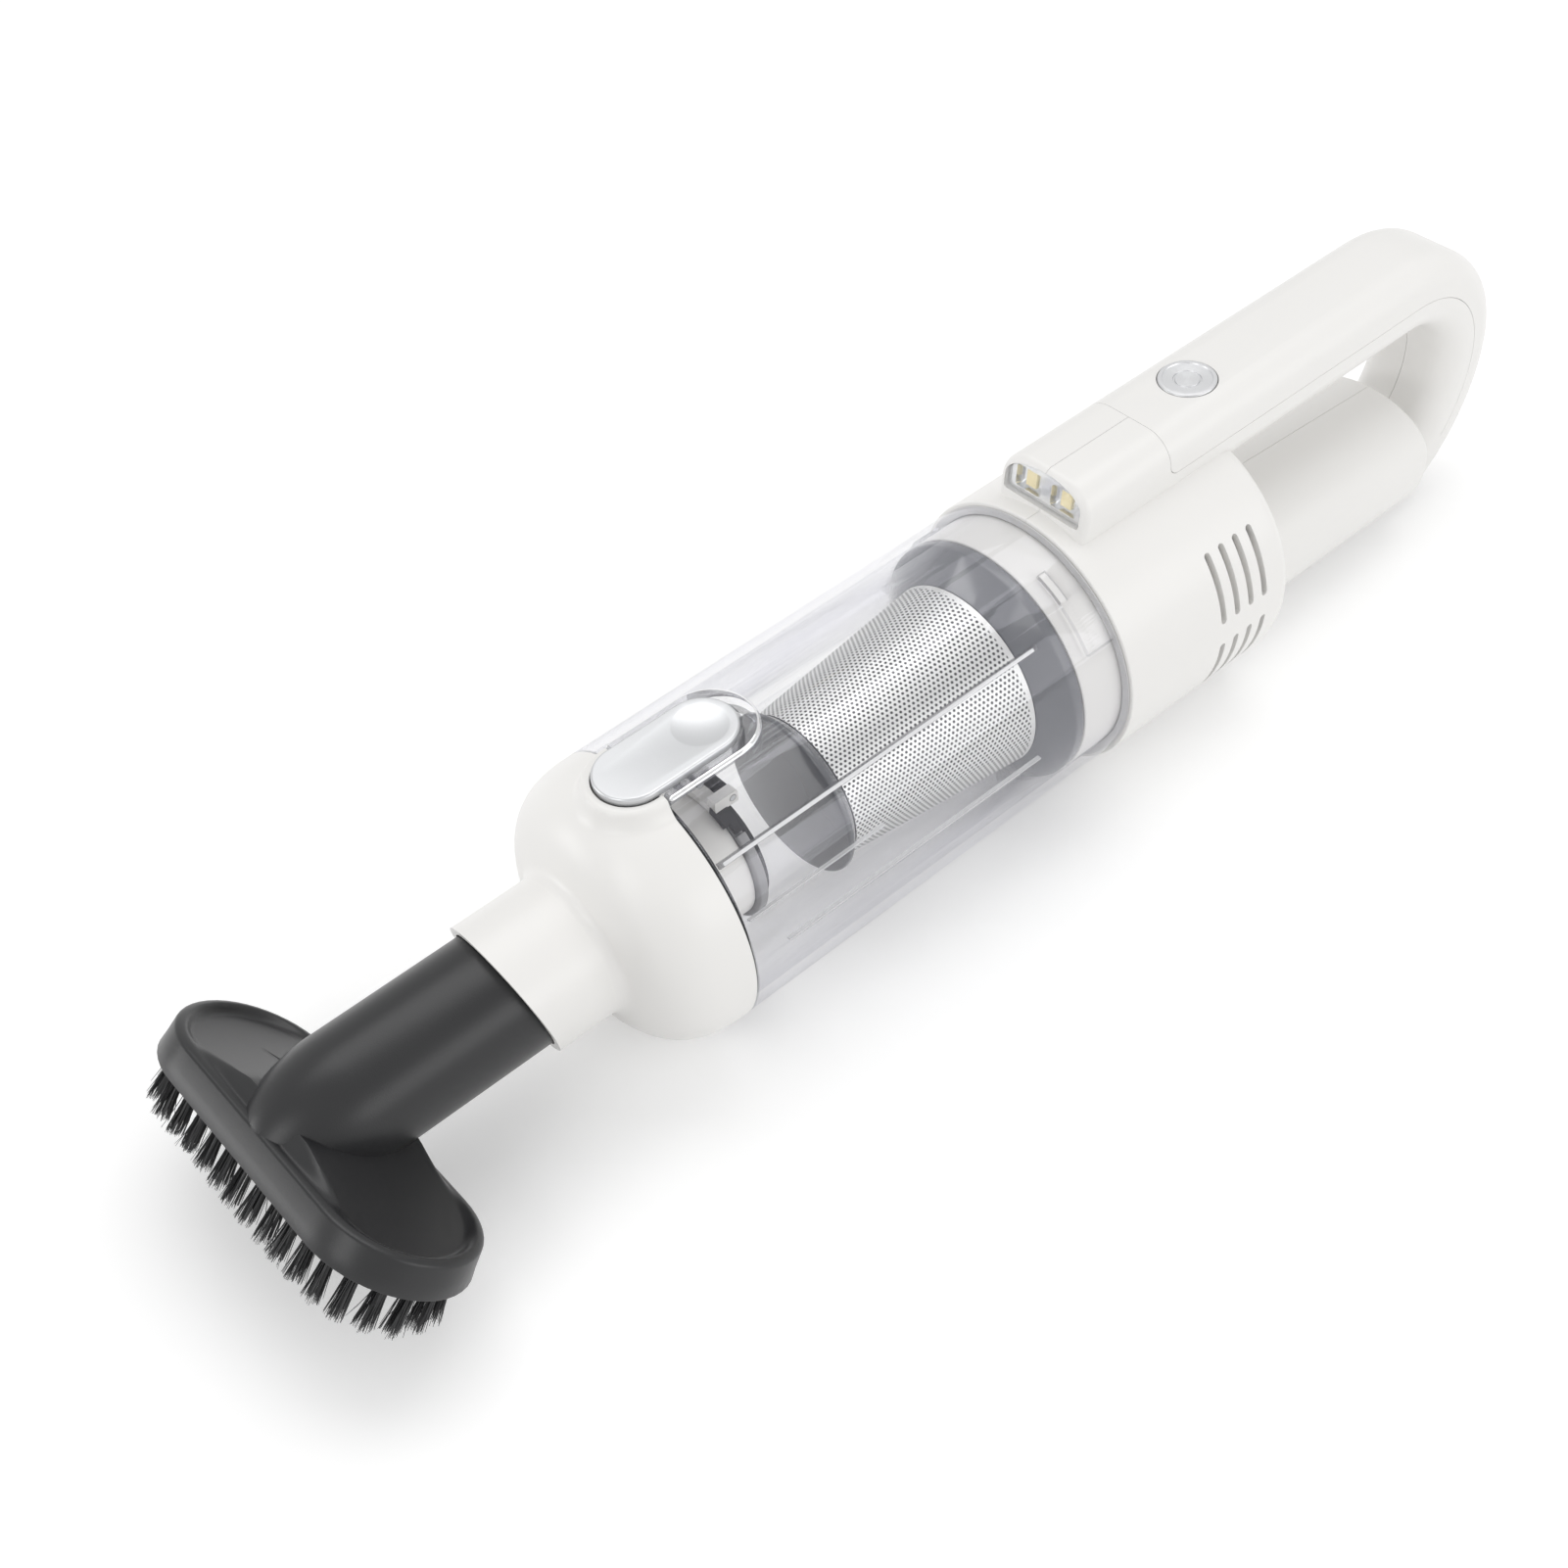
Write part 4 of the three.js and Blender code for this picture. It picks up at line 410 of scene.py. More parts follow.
PAPER_FIBRE = (0.6, 5.0)
two_tone("filter_paper", (0.80, 0.79, 0.75), (0.66, 0.65, 0.61), PAPER_FIBRE, (0.85, 0.1),
         skin=(PAPER_FIBRE, 0.08, 0.7), Specular_IOR_Level=0.2)
two_tone("cell_wrap", (0.03, 0.13, 0.27), (0.02, 0.09, 0.21), (12.0, 2.0), (0.3, 0.1),
         wear=(4.0, 2.0), Coat_Weight=0.4)

board = Finish("circuit_board", Coat_Weight=0.5)
copper = board.node("ShaderNodeTexBrick", {"offset": 0.5}, {
    "Vector": board.place(0.4), "Color1": (0.01, 0.11, 0.05), "Color2": (0.012, 0.15, 0.065),
    "Mortar": (0.006, 0.06, 0.03), "Scale": 1.0})
board.surface(Base_Color=copper, Roughness=0.3 + 0.15 * board.noise(2.0))

chip_finish = Finish("led_phosphor", Emission_Strength=0.12)
grain = chip_finish.noise(0.4)
tint = chip_finish.mix(grain, (0.86, 0.72, 0.36), (0.93, 0.83, 0.5))
chip_finish.surface(Base_Color=tint, Emission_Color=tint, Roughness=0.4 + 0.1 * grain)

slot_of = {part["node"]: part["material_slot"] for part in frame["record"]["subparts"]}
for name, node in frame["nodes"].items():
    node.data.materials.clear()
    node.data.materials.append(FINISHES[slot_of[name]])
print("finishes:", len(FINISHES), "for", len(frame["nodes"]), "nodes")

# %% [markdown]
# ## Drawing tools
# Three ways make nearly every piece here. A turned piece is an outline spun round an axis. A prism is
# an outline pushed straight. Both take outlines whose corners may carry a radius. The third is to
# carve or join finished pieces, then take a small bevel off the new edges, as a mould-maker breaks
# every edge so that light catches it.

# %% Outlines with round corners
ROUND = 160
SHARP_ANGLE = radians(32)


def arc(a, b, wide, tall, first, last, steps):
    """Points along an ellipse about (a, b) from one angle to another, with both ends."""
    turns = [first + (last - first) * i / steps for i in range(steps + 1)]
    return [(a + wide * cos(turn), b + tall * sin(turn)) for turn in turns]


def rounded(corners, steps=5):
    """Points of a closed outline whose corners are (a, b) or, where they are round, (a, b, radius)."""
    points = []
    for i, corner in enumerate(corners):
        here = Vector(corner[:2])
        if len(corner) == 2:
            points.append(here)
            continue
        before = (Vector(corners[i - 1][:2]) - here).normalized()
        after = (Vector(corners[(i + 1) % len(corners)][:2]) - here).normalized()
        half = acos(max(-1.0, min(1.0, before.dot(after)))) / 2
        centre = here + (before + after).normalized() * corner[2] / sin(half)
        start = here + before * corner[2] / tan(half) - centre
        end = here + after * corner[2] / tan(half) - centre
        first = atan2(start.y, start.x)
        turn = (atan2(end.y, end.x) - first + pi) % (2 * pi) - pi
        points += arc(*centre, corner[2], corner[2], first, first + turn, steps)
    return points


def round_box(half_width, low, high, corner, steps=8):
    return rounded([(-half_width, low, corner), (half_width, low, corner),
                    (half_width, high, corner), (-half_width, high, corner)], steps)


def stadium(low, high, half_width, steps=24):
    """A slot with round ends between low and high, centred on the first direction."""
    return rounded([(low, -half_width, half_width), (high, -half_width, half_width),
                    (high, half_width, half_width), (low, half_width, half_width)], steps)


def sides(across):
    """Both ends of a width or a turn, from its half or from two numbers in either order."""
    return (-across, across) if isinstance(across, (int, float)) else sorted(across)


# %% Turned pieces and prisms
def piece_from(name, bm):
    """An object from a bmesh in millimetres, with doubles merged and faces pointing out."""
    bmesh.ops.remove_doubles(bm, verts=bm.verts, dist=0.002)
    bmesh.ops.recalc_face_normals(bm, faces=bm.faces)
    mesh = bpy.data.meshes.new(name)
    bm.to_mesh(mesh)
    bm.free()
    return stand(name, mesh)


def spin(bm, parts, axis, turn, steps, centre=(0, 0, 0), merge=False):
    bmesh.ops.spin(bm, geom=parts, cent=centre, axis=axis, dvec=(0, 0, 0), angle=turn, steps=steps,
                   use_merge=merge)


def turned(name, outline, steps=ROUND, upright_at=None):
    """Spins (place along the axis, radius) points about X, or about an upright axis at this x."""
    bm = bmesh.new()
    if upright_at is None:
        centre, axis = (0, 0, 0), (1, 0, 0)
        verts = [bm.verts.new((along, 0, radius)) for along, radius in outline]
    else:
        centre, axis = (upright_at, 0, 0), (0, 0, 1)
        verts = [bm.verts.new((upright_at + radius, 0, along)) for along, radius in outline]
    edges = [bm.edges.new(pair) for pair in zip(verts, verts[1:])]
    if outline[0][1] and outline[-1][1]:
        edges.append(bm.edges.new((verts[-1], verts[0])))
    spin(bm, verts + edges, axis, 2 * pi, steps, centre, True)
    bmesh.ops.delete(bm, geom=[edge for edge in bm.edges if not edge.link_faces], context="EDGES")
    return piece_from(name, bm)


def tube(name, rear, front, inner, outer, edge):
    return turned(name, rounded([(rear, inner, edge), (front, inner, edge), (front, outer, edge),
                                 (rear, outer, edge)], 3))


def rod(name, rear, front, radius, edge=0.2):
    corners = [(rear, 0), (rear, radius, edge), (front, radius, edge), (front, 0)]
    return turned(name, rounded(corners, 3))


SPREAD = {
    "X": lambda a, b, along: (along, a, b),
    "Y": lambda a, b, along: (a, along, b),
    "Z": lambda a, b, along: (a, b, along),
}


def prism_mesh(outline, axis, low, high):
    """A bmesh of an outline pushed along an axis from low to high, and its corners at high."""
    bm = bmesh.new()
    spread = SPREAD[axis]
    face = bm.faces.new([bm.verts.new(spread(a, b, low)) for a, b in outline])
    grown = bmesh.ops.extrude_face_region(bm, geom=[face])["geom"]
    far = [part for part in grown if isinstance(part, bmesh.types.BMVert)]
    bmesh.ops.translate(bm, verts=far, vec=Vector(spread(0, 0, high - low)))
    return bm, far


def prism(name, outline, axis, low, high):
    return piece_from(name, prism_mesh(outline, axis, low, high)[0])


def slab(name, x0, x1, across, z0, z1):
    y0, y1 = sides(across)
    return prism(name, [(x0, y0), (x1, y0), (x1, y1), (x0, y1)], "Z", z0, z1)


def circle(a, b, radius, steps=48):
    return arc(a, b, radius, radius, 0, 2 * pi, steps)[:-1]


def rod_y(name, place, radius, across):
    """A rod across the body at an (x, z) place."""
    return prism(name, circle(*place, radius), "Y", *sides(across))


def round_rim(bm, corners, width, segments):
    rim = [edge for edge in bm.edges if all(vert in corners for vert in edge.verts)]
    bmesh.ops.bevel(bm, geom=rim, offset=width, segments=segments, profile=0.5, affect="EDGES",
                    material=-1)


# %% Carving, softening and placing
def settle(piece):
    """Makes a piece's modifiers part of its mesh."""
    graph = bpy.context.evaluated_depsgraph_get()
    mesh = bpy.data.meshes.new_from_object(piece.evaluated_get(graph))
    piece.modifiers.clear()
    old = piece.data
    piece.data = mesh
    bpy.data.meshes.remove(old)
    return piece


def carve(piece, *tools, how="DIFFERENCE"):
    """Cuts the tools from a piece, or joins them to it, and uses them up."""
    for tool in tools:
        step = piece.modifiers.new("carve", "BOOLEAN")
        step.operation = how
        step.solver = "MANIFOLD"
        step.object = tool
        settle(piece)
        bpy.data.objects.remove(tool)
    return piece


def join(piece, *others):
    return carve(piece, *others, how="UNION")


def keep_within(piece, tool):
    return carve(piece, tool, how="INTERSECT")


def copy_of(piece, name):
    return stand(name, piece.data.copy())


def shade_round(piece):
    for face in piece.data.polygons:
        face.use_smooth = True


def soften(piece, width, segments=3):
    """Takes a small round off every sharp edge."""
    merge = piece.modifiers.new("merge", "WELD")
    merge.merge_threshold = 0.01
    bevel = piece.modifiers.new("soften", "BEVEL")
    bevel.width = width
    bevel.segments = segments
    bevel.limit_method = "ANGLE"
    bevel.angle_limit = SHARP_ANGLE
    bevel.use_clamp_overlap = False
    bevel.miter_outer = "MITER_ARC"
    piece.modifiers.new("weigh", "WEIGHTED_NORMAL").weight = 80
    shade_round(piece)
    return settle(piece)


body_of_node = {node: body for body, members in frame["record"]["behaviour"]["bodies"].items()
                for node in members}


def dress(piece, node, finish=None):
    """Brings a finished piece into the frame, where it stands for a CAD node on the same body."""
    piece.data.transform(TO_FRAME)
    shade_round(piece)
    piece.data.set_sharp_from_angle(angle=SHARP_ANGLE)
    piece.data.materials.clear()
    piece.data.materials.append(FINISHES[finish or slot_of[node]])
    for face in piece.data.polygons:
        face.material_index = 0
    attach(piece, body_of_node[node])
    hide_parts(node)
    triangles = sum(len(face.vertices) - 2 for face in piece.data.polygons)
    print(f"{piece.name}: {triangles} triangles, for {node} on {body_of_node[node]}")


# %% [markdown]
# Slots and air vents follow the round wall, so their cutters are wedges about the body axis. Angles
# are counted from the top towards the left side, as a clock seen from the front would run.


# %% Wedges, spokes and coils
def wedge(name, rear, front, inner, outer, turns, step=1.5, stops=()):
    """A piece of a ring between two angles. Stops are places where its faces are divided."""
    start, end = sides(turns)
    bm = bmesh.new()
    corners = [(rear, inner), *((x, inner) for x in stops), (front, inner), (front, outer),
               *((x, outer) for x in reversed(stops)), (rear, outer)]
    stood = Matrix.Rotation(radians(-start), 3, "X")
    face = bm.faces.new([bm.verts.new(stood @ Vector((x, 0, r))) for x, r in corners])
    spin(bm, [face], (-1, 0, 0), radians(end - start), max(2, round((end - start) / step)))
    return piece_from(name, bm)


def spoke(name, x, angle, radius, inner, outer):
    piece = prism(name, circle(x, 0, radius, 24), "Z", inner, outer)
    piece.data.transform(Matrix.Rotation(radians(-angle), 4, "X"))
    return piece


def coil(name, place, radius, wire, low, high, curls=3):
    """A coil spring on an upright axis: a small circle carried up by the Screw modifier."""
    bm = bmesh.new()
    stood = Matrix.Translation((radius, 0, low + wire)) @ Matrix.Rotation(pi / 2, 4, "X")
    bmesh.ops.create_circle(bm, segments=10, radius=wire, matrix=stood)
    piece = piece_from(name, bm)
    screw = piece.modifiers.new("coil", "SCREW")
    screw.axis = "Z"
    screw.angle = 2 * pi
    screw.iterations = curls
    screw.screw_offset = (high - low - 2 * wire) / curls
    screw.steps = screw.render_steps = 24
    settle(piece)
    piece.data.transform(Matrix.Translation((place, 0, 0)))
    return piece


def mark(piece, name, share_of):
    """Gives each face a number from its centre, its normal and how squarely it faces the round wall."""
    numbers = piece.data.attributes.new(name, "FLOAT", "FACE")
    for face in piece.data.polygons:
        out = Vector((0, face.center.y, face.center.z)).normalized()
        share = share_of(face.center, face.normal, abs(face.normal.dot(out)))
        numbers.data[face.index].value = float(share)


# %% [markdown]
# ## Front cap
# The dome is a superellipse: fuller than a ball, so its shoulder stays square-ish like a moulded lid.
# A round fillet carries it into the nose. On a lathe it would be turned as one outline; here the top
# also swells into a collar round the latch. That swelling is a smooth maximum of the dome's height
# and the collar's, so the two melt into each other with no seam.

# %% Cap outline
CAP_BACK, CAP_EDGE, CAP_WALL = 0.25, 0.2, 2.2
CUP_RADIUS = 37.5
DOME_DEPTH, DOME_POWER = 26.3, 2.8
NOSE_RADIUS, NOSE_BORE, NOSE_END = 18.9, 16.8, 45.2
NOSE_TILT = radians(12.4)
NOSE_FILLET = 3.4
RIM_FRONT = 4.0


def dome_point(turn, shrink=0.0):
    share = 2 / DOME_POWER
    return Vector(((DOME_DEPTH - shrink) * sin(turn) ** share,
                   (CUP_RADIUS - shrink) * cos(turn) ** share))


def dome_normal(point):
    return Vector(((point.x / DOME_DEPTH) ** (DOME_POWER - 1) / DOME_DEPTH,
                   (point.y / CUP_RADIUS) ** (DOME_POWER - 1) / CUP_RADIUS)).normalized()


def fillet_turn():
    """The turn on the dome where a fillet circle that also touches the nose begins."""
    low, high = 0.2, pi / 2 - 0.01
    for _ in range(40):
        turn = (low + high) / 2
        point = dome_point(turn)
        if (point + NOSE_FILLET * dome_normal(point)).y > NOSE_RADIUS + NOSE_FILLET:
            low = turn
        else:
            high = turn
    return low


LAST_TURN = fillet_turn()
dome_end = dome_point(LAST_TURN)
fillet_centre = dome_end + NOSE_FILLET * dome_normal(dome_end)
first_angle = atan2(dome_end.y - fillet_centre.y, dome_end.x - fillet_centre.x)
fillet = arc(*fillet_centre, NOSE_FILLET, NOSE_FILLET, first_angle, -pi / 2, 12)[1:]
dome = [dome_point(LAST_TURN * (i / 60) ** 0.8) for i in range(1, 61)]
print("nose fillet runs from x =", round(dome_end.x, 2), "to", round(fillet_centre.x, 2))

# %% Cap solid with its collar round the latch
COLLAR_HALF_WIDTH, COLLAR_FRONT, COLLAR_TOP = 12.0, 13.6, 39.3
COLLAR_ROUND = 1.3
COLLAR_SLOPE = 2.4
MELT = 2.4
FINE_TURN = radians(26)


def smooth_max(a, b):
    near = max(MELT - abs(a - b), 0) / MELT
    return max(a, b) + near * near * MELT / 4


def collar_height(x, y):
    """Height of the collar's skin: level on top, round at its edge and steep at its flank."""
    out = hypot(max(x - (COLLAR_FRONT - COLLAR_HALF_WIDTH), 0), y) - COLLAR_HALF_WIDTH
    if out < -COLLAR_ROUND:
        return COLLAR_TOP
    edge = min(1.0, (out + COLLAR_ROUND) / COLLAR_ROUND)
    return COLLAR_TOP - COLLAR_ROUND * (1 - sqrt(1 - edge * edge)) - COLLAR_SLOPE * max(out, 0)


def cap_solid():
    """The dome and nose, spun in finer steps near the top, where the collar rises."""
    nose_tip = NOSE_END + NOSE_RADIUS
    outline = [(CAP_BACK, 0), (CAP_BACK, CUP_RADIUS - CAP_EDGE), (CAP_BACK + CAP_EDGE, CUP_RADIUS)]
    outline += [point for point in dome if point.x > CAP_BACK + 2 * CAP_EDGE] + fillet
    outline += [(nose_tip, NOSE_RADIUS), (nose_tip, 0)]
    bm = bmesh.new()
    for start, turn, steps in ((-FINE_TURN, 2 * FINE_TURN, 130),
                               (FINE_TURN, 2 * pi - 2 * FINE_TURN, 150)):
        stood = Matrix.Rotation(start, 3, "X")
        verts = [bm.verts.new(stood @ Vector((x, 0, r))) for x, r in outline]
        spin(bm, verts + [bm.edges.new(pair) for pair in zip(verts, verts[1:])], (1, 0, 0), turn, steps)
    bmesh.ops.remove_doubles(bm, verts=bm.verts, dist=0.004)
    for vert in bm.verts:
        x, y, z = vert.co
        lowest = 30 if x < CAP_BACK + 0.3 else 20
        if z > lowest and abs(y) < 22 and x < 24:
            vert.co.z = smooth_max(z, collar_height(x, y))
    return piece_from("cap_shell", bm)


def nose_cut(reach=80.0):
    """Everything in front of the slanted end of the nose."""
    lean = reach * tan(NOSE_TILT)
    return prism("nose_end", [(NOSE_END - lean, -reach), (NOSE_END + reach, -reach),
                              (NOSE_END + reach, reach), (NOSE_END + lean, reach)], "Y", -60, 60)


cap = cap_solid()
inner_dome = [dome_point(LAST_TURN * i / 30, CAP_WALL) for i in range(31)]
cavity = turned("cavity", [
    (RIM_FRONT, 0), (RIM_FRONT, CUP_RADIUS - CAP_WALL),
    *(point for point in inner_dome if point.x > RIM_FRONT + 0.5), (inner_dome[-1].x, 0)])
carve(cap, cavity, rod("plate_seat", -5, RIM_FRONT + 0.3, 30.15), rod("nose_bore", 10, 90, NOSE_BORE),
      nose_cut())

# %% [markdown]
# The latch sits in a pocket that runs through cap and cup. A rib inside the pocket catches the
# latch's hook. Below, a knuckle and its link make the middle of the hinge.

# %% Latch pocket, catch and hinge of the cap
PILL_REAR, PILL_FRONT, PILL_HALF_WIDTH = -28.2, 10.7, 9.2
POCKET_GAP, POCKET_FLOOR = 0.45, 34.5
PAD_BOTTOM, PAD_INSET = 32.4, 1.2
HINGE, HINGE_PIN, KNUCKLE_RADIUS = (0, -36.022), 0.9, 1.95
LATCH_AXIS, FLAP_AXIS, SMALL_PIN = (-9.4, 36.5), (-20.65, 20.3), 0.8
PIN_GAP = 0.2
BARREL_FLOOR = -37.972


def pocket_tool(rear):
    outline = stadium(rear, PILL_FRONT + POCKET_GAP, PILL_HALF_WIDTH + POCKET_GAP)
    return prism("pocket", outline, "Z", POCKET_FLOOR, 60)


def hinge_notch(rear, front, half_width=10.5):
    return slab("notch", rear, front, half_width, -60, -33.9)


def pin_hole(place, pin):
    return rod_y("hole", place, pin + PIN_GAP, 20)


pad = prism("pad", stadium(-COLLAR_FRONT, COLLAR_FRONT - PAD_INSET, COLLAR_HALF_WIDTH - PAD_INSET), "Z",
            PAD_BOTTOM, 36)
carve(pad, slab("behind", -40, CAP_BACK + 0.05, 40, 0, 60))
join(cap, pad)
carve(cap, pocket_tool(-20), hinge_notch(-5, 2.6))
join(cap, slab("catch", 4.9, 6.2, 4, PAD_BOTTOM + 0.3, 35.6))
link = join(rod_y("knuckle", HINGE, KNUCKLE_RADIUS, 3), slab("link", 0.15, 4.5, 3, BARREL_FLOOR, -34.2))
join(cap, carve(link, pin_hole(HINGE, HINGE_PIN)))
dress(cap, "front_cap")

# %% Hinge pin and seam seal
dress(rod_y("hinge_rod", HINGE, HINGE_PIN, 8.7), "cap_hinge_pin")
seal = turned("seam_seal", rounded([
    (SEAL_HALF, 30.6), (SEAL_HALF, 37.0, 0.15), (-SEAL_HALF, 37.0, 0.15), (-SEAL_HALF, 32.4),
    (-2.8, 32.4, 0.3), (-2.8, 30.6, 0.3)], 3))
dress(carve(seal, hinge_notch(-5, 5)), "cap_seal")

# %% [markdown]
# ## Inlet
# Air enters through a short tube. Its round back plate closes the cap, and a grey rubber ring guards
# its end. A holder over the ring carries the flap's pin: black at its two ends, with feet, and white
# in the middle, where two ears take the pin.

# %% Tube, gasket, flap and its holder
FLAP_REAR, FLAP_FRONT = -20.9, -19.5
HOLDER = (-18.6, -15, 18.0, 20.1)
FOOT = (-18.5, -16.6, 18.0, 20.0)

dress(turned("inlet_pipe", rounded([
    (-16, 15.6, 0.3), (21.5, 15.6, 0.3), (21.5, 17.7, 0.3), (2.7, 17.7, 0.8),
    (2.7, 30, 0.3), (0.5, 30, 0.3), (0.5, 17.7, 0.8), (-16, 17.7, 0.3)], 4)), "inlet_tube")
gasket = turned("pipe_ring", rounded([
    (-18.9, 15.8, 0.5), (-16.3, 15.8, 0.5), (-16.3, 19.4, 0.5), (-18.9, 19.4, 0.5)], 4))
dress(carve(gasket, wedge("relief", -30, 0, 17.7, 40, 41)), "inlet_gasket")
for side, name in ((1, "left_pad"), (-1, "right_pad")):
    pad = wedge(name, *HOLDER, (side * 14, side * 31))
    dress(join(pad, wedge("foot", *FOOT, (side * 30.9, side * 39))), "flap_clip")
carrier = wedge("flap_carrier", *HOLDER, 13.8)
for side in (-1, 1):
    join(carrier, prism("ear", rounded([
        (-22.25, 18.5, 0.5), (-15.3, 18.5), (-15.3, 22.1), (-22.25, 22.1, 0.8)]),
        "Y", *sides((side * 3.8, side * 6.8))))
dress(carve(carrier, pin_hole(FLAP_AXIS, SMALL_PIN)), "flap_clip", "white_plastic")
flap = rod("flap_disc", FLAP_REAR, FLAP_FRONT, 17.2, 0.4)
join(flap, slab("tongue", FLAP_REAR, FLAP_FRONT, 3.5, 0, FLAP_AXIS[1]),
     rod_y("curl", FLAP_AXIS, 1.6, 3.5))
dress(carve(flap, pin_hole(FLAP_AXIS, SMALL_PIN)), "inlet_flap")
dress(rod_y("flap_rod", FLAP_AXIS, SMALL_PIN, 6.8), "flap_pin")

# %% [markdown]
# ## Clear cup
# The cup is one injection in clear plastic: a tube, thin ribs that stiffen it and keep hair from
# winding, the block that holds the latch, and three L-shaped slots that lock it to the motor unit.

# %% Dust cup
CUP_FRONT, CUP_BACK, CUP_BORE = -0.25, -124.2, 35.1
LOCK_INNER, LOCK_RADIUS = 32, 36.5
LOCK_TURNS = (0, 120, 240)

cup = tube("clear_cup", CUP_BACK, CUP_FRONT, CUP_BORE, CUP_RADIUS, 0.25)
block = prism("block", stadium(-33.5, 12.4, 12.4), "Z", 32.9, 39.6)
carve(block, slab("front", CUP_FRONT, 30, 30, 0, 60))
join(cup, soften(block, 0.9))
carve(cup, pocket_tool(PILL_REAR - 2 * POCKET_GAP), hinge_notch(-2.55, 5, 3.3))
for turn in LOCK_TURNS:
    carve(cup, wedge("lock", -117.9, -115.4, LOCK_INNER, LOCK_RADIUS, (21.4 + turn, 59.7 + turn)),
          wedge("entry", -130, -115.3, LOCK_INNER, LOCK_RADIUS, (36 + turn, 59.7 + turn)))
for side in (-1, 1):
    across = (side * 3.3, side * 9.0)
    join(cup, rod_y("knuckle", HINGE, KNUCKLE_RADIUS, across),
         slab("link", -4.5, 0.15, across, BARREL_FLOOR, -35.2))
carve(cup, pin_hole(HINGE, HINGE_PIN), rod_y("pin_seat", LATCH_AXIS, SMALL_PIN + PIN_GAP, 11.2))


def cut_edge_shade_share(centre, normal, square):
    """Painted grey shade where the clear wall is cut across: full in the latch's pocket, weak
    elsewhere.
    """
    near_latch = centre.z > 33 and centre.x > -36
    if square > 0.75 or centre.x < -123 or near_latch and abs(centre.y) > 12:
        return 0.0
    return 1.0 if near_latch else 0.55


def lit_share(centre, normal, square):
    """A painted highlight: white along the round upper edge of the latch block, where light leaves the
    plastic.
    """
    reach = hypot(min(centre.x + 21.1, 0), centre.y)
    return centre.z > 38.4 and reach > 11.3 and 0.1 < normal.z < 0.99


mark(cup, "cut_edge_shade", cut_edge_shade_share)
mark(cup, "lit", lit_share)
dress(cup, "dust_cup")

# %% [markdown]
# Only the long rib stands out, as a bar of white painted highlight with one side of dark painted
# shade. Its faces there and at both ends carry the cut-edge shade mark. The other ribs are thin and
# faint, with a weaker painted highlight.

# %% Ribs of the cup
RIBS = {"long": (-103.8, -2.3, 44.5), "short": (-45, -3, 69.5), "rear": (-95, -12, 90.5),
        "far": (-103.8, -2.3, -114)}
RIB_DEPTH, RIB_SINK, RIB_END = 1.2, 0.02, 1.2
for name, (rear, front, angle) in RIBS.items():
    below, above = (-1.4, 1.2) if name == "long" else (-0.35, 0.35)
    rib = wedge("rib_" + name, rear, front, CUP_BORE - RIB_DEPTH, CUP_BORE - RIB_SINK,
                (angle + below, angle + above), 0.16, (rear + RIB_END, front - RIB_END))
    mark(rib, "cut_edge_shade", lambda centre, normal, square: name == "long" and (square < 0.75 or not (
        -0.45 < degrees(atan2(centre.y, centre.z)) - angle < 1.0
        and rear + RIB_END < centre.x < front - RIB_END)))
    dress(rib, "dust_cup", "rib_highlight_plastic" if name == "long" else "faint_rib_highlight_plastic")

# %% [markdown]
# ## Latch
# A long pill with a broken edge all round and a round hollow for the thumb. The hollow is a slice of
# a big ball, so it has no edge wall and its rim is a crisp circle.

# %% Latch, its pin and spring
PILL_BOTTOM, PILL_TOP = 38.6, 41.2
DIMPLE_PLACE, DIMPLE_RADIUS, DIMPLE_DEPTH = -19.0, 7.0, 0.8


def thumb_hollow():
    ball = (DIMPLE_RADIUS ** 2 + DIMPLE_DEPTH ** 2) / (2 * DIMPLE_DEPTH)
    reach = asin(DIMPLE_RADIUS / ball) * 1.3
    outline = arc(PILL_TOP - DIMPLE_DEPTH + ball, 0, -ball, ball, 0, reach, 24)
    return turned("hollow", outline + [(outline[-1][0], 0)], 96, DIMPLE_PLACE)


pill = prism("latch_pill", stadium(PILL_REAR, PILL_FRONT, PILL_HALF_WIDTH, 40), "Z",
             PILL_BOTTOM, PILL_TOP)
carve(soften(pill, 0.7, 4), thumb_hollow())
join(pill, slab("lever", -11.6, -7.2, 5, 34.9, 39.3), slab("hook", 6.5, 8, 4, 36, 39.3))
dress(carve(pill, pin_hole(LATCH_AXIS, SMALL_PIN)), "latch_lever")
dress(rod_y("latch_rod", LATCH_AXIS, SMALL_PIN, 10.9), "latch_pin")
dress(coil("latch_coil", DIMPLE_PLACE, 2.0, 0.25, 34.8, 38.3), "latch_spring")

# %% [markdown]
# ## Cyclone
# Dirty air swirls round the steel cone, and only clean air passes through its small holes. The sheet
# of the cone gets a UV map in millimetres of flat sheet: one direction runs along the cone's side, the
# other round it, measured at the middle radius so that the holes stay nearly round everywhere.

# %% Tip, cone and flange
CONE_FRONT, CONE_REAR = -46.0, -102.0
CONE_SMALL, CONE_LARGE, CONE_SHEET = 20.6, 26.3, 0.8
CONE_STEPS = 40
PLAIN_FRONT, PLAIN_REAR = 0.3, 1.2

dress(turned("cyclone_nose", [(-42, 0)] + rounded([
    (-42, 22.8, 0.6), (-43.4, 22.8, 0.4), (-45.7, 20.6), (-45.7, 19.5), (-52, 19.5), (-52, 17.7),
    (-43.8, 17.7), (-43.8, 0)], 4)), "cyclone_tip")

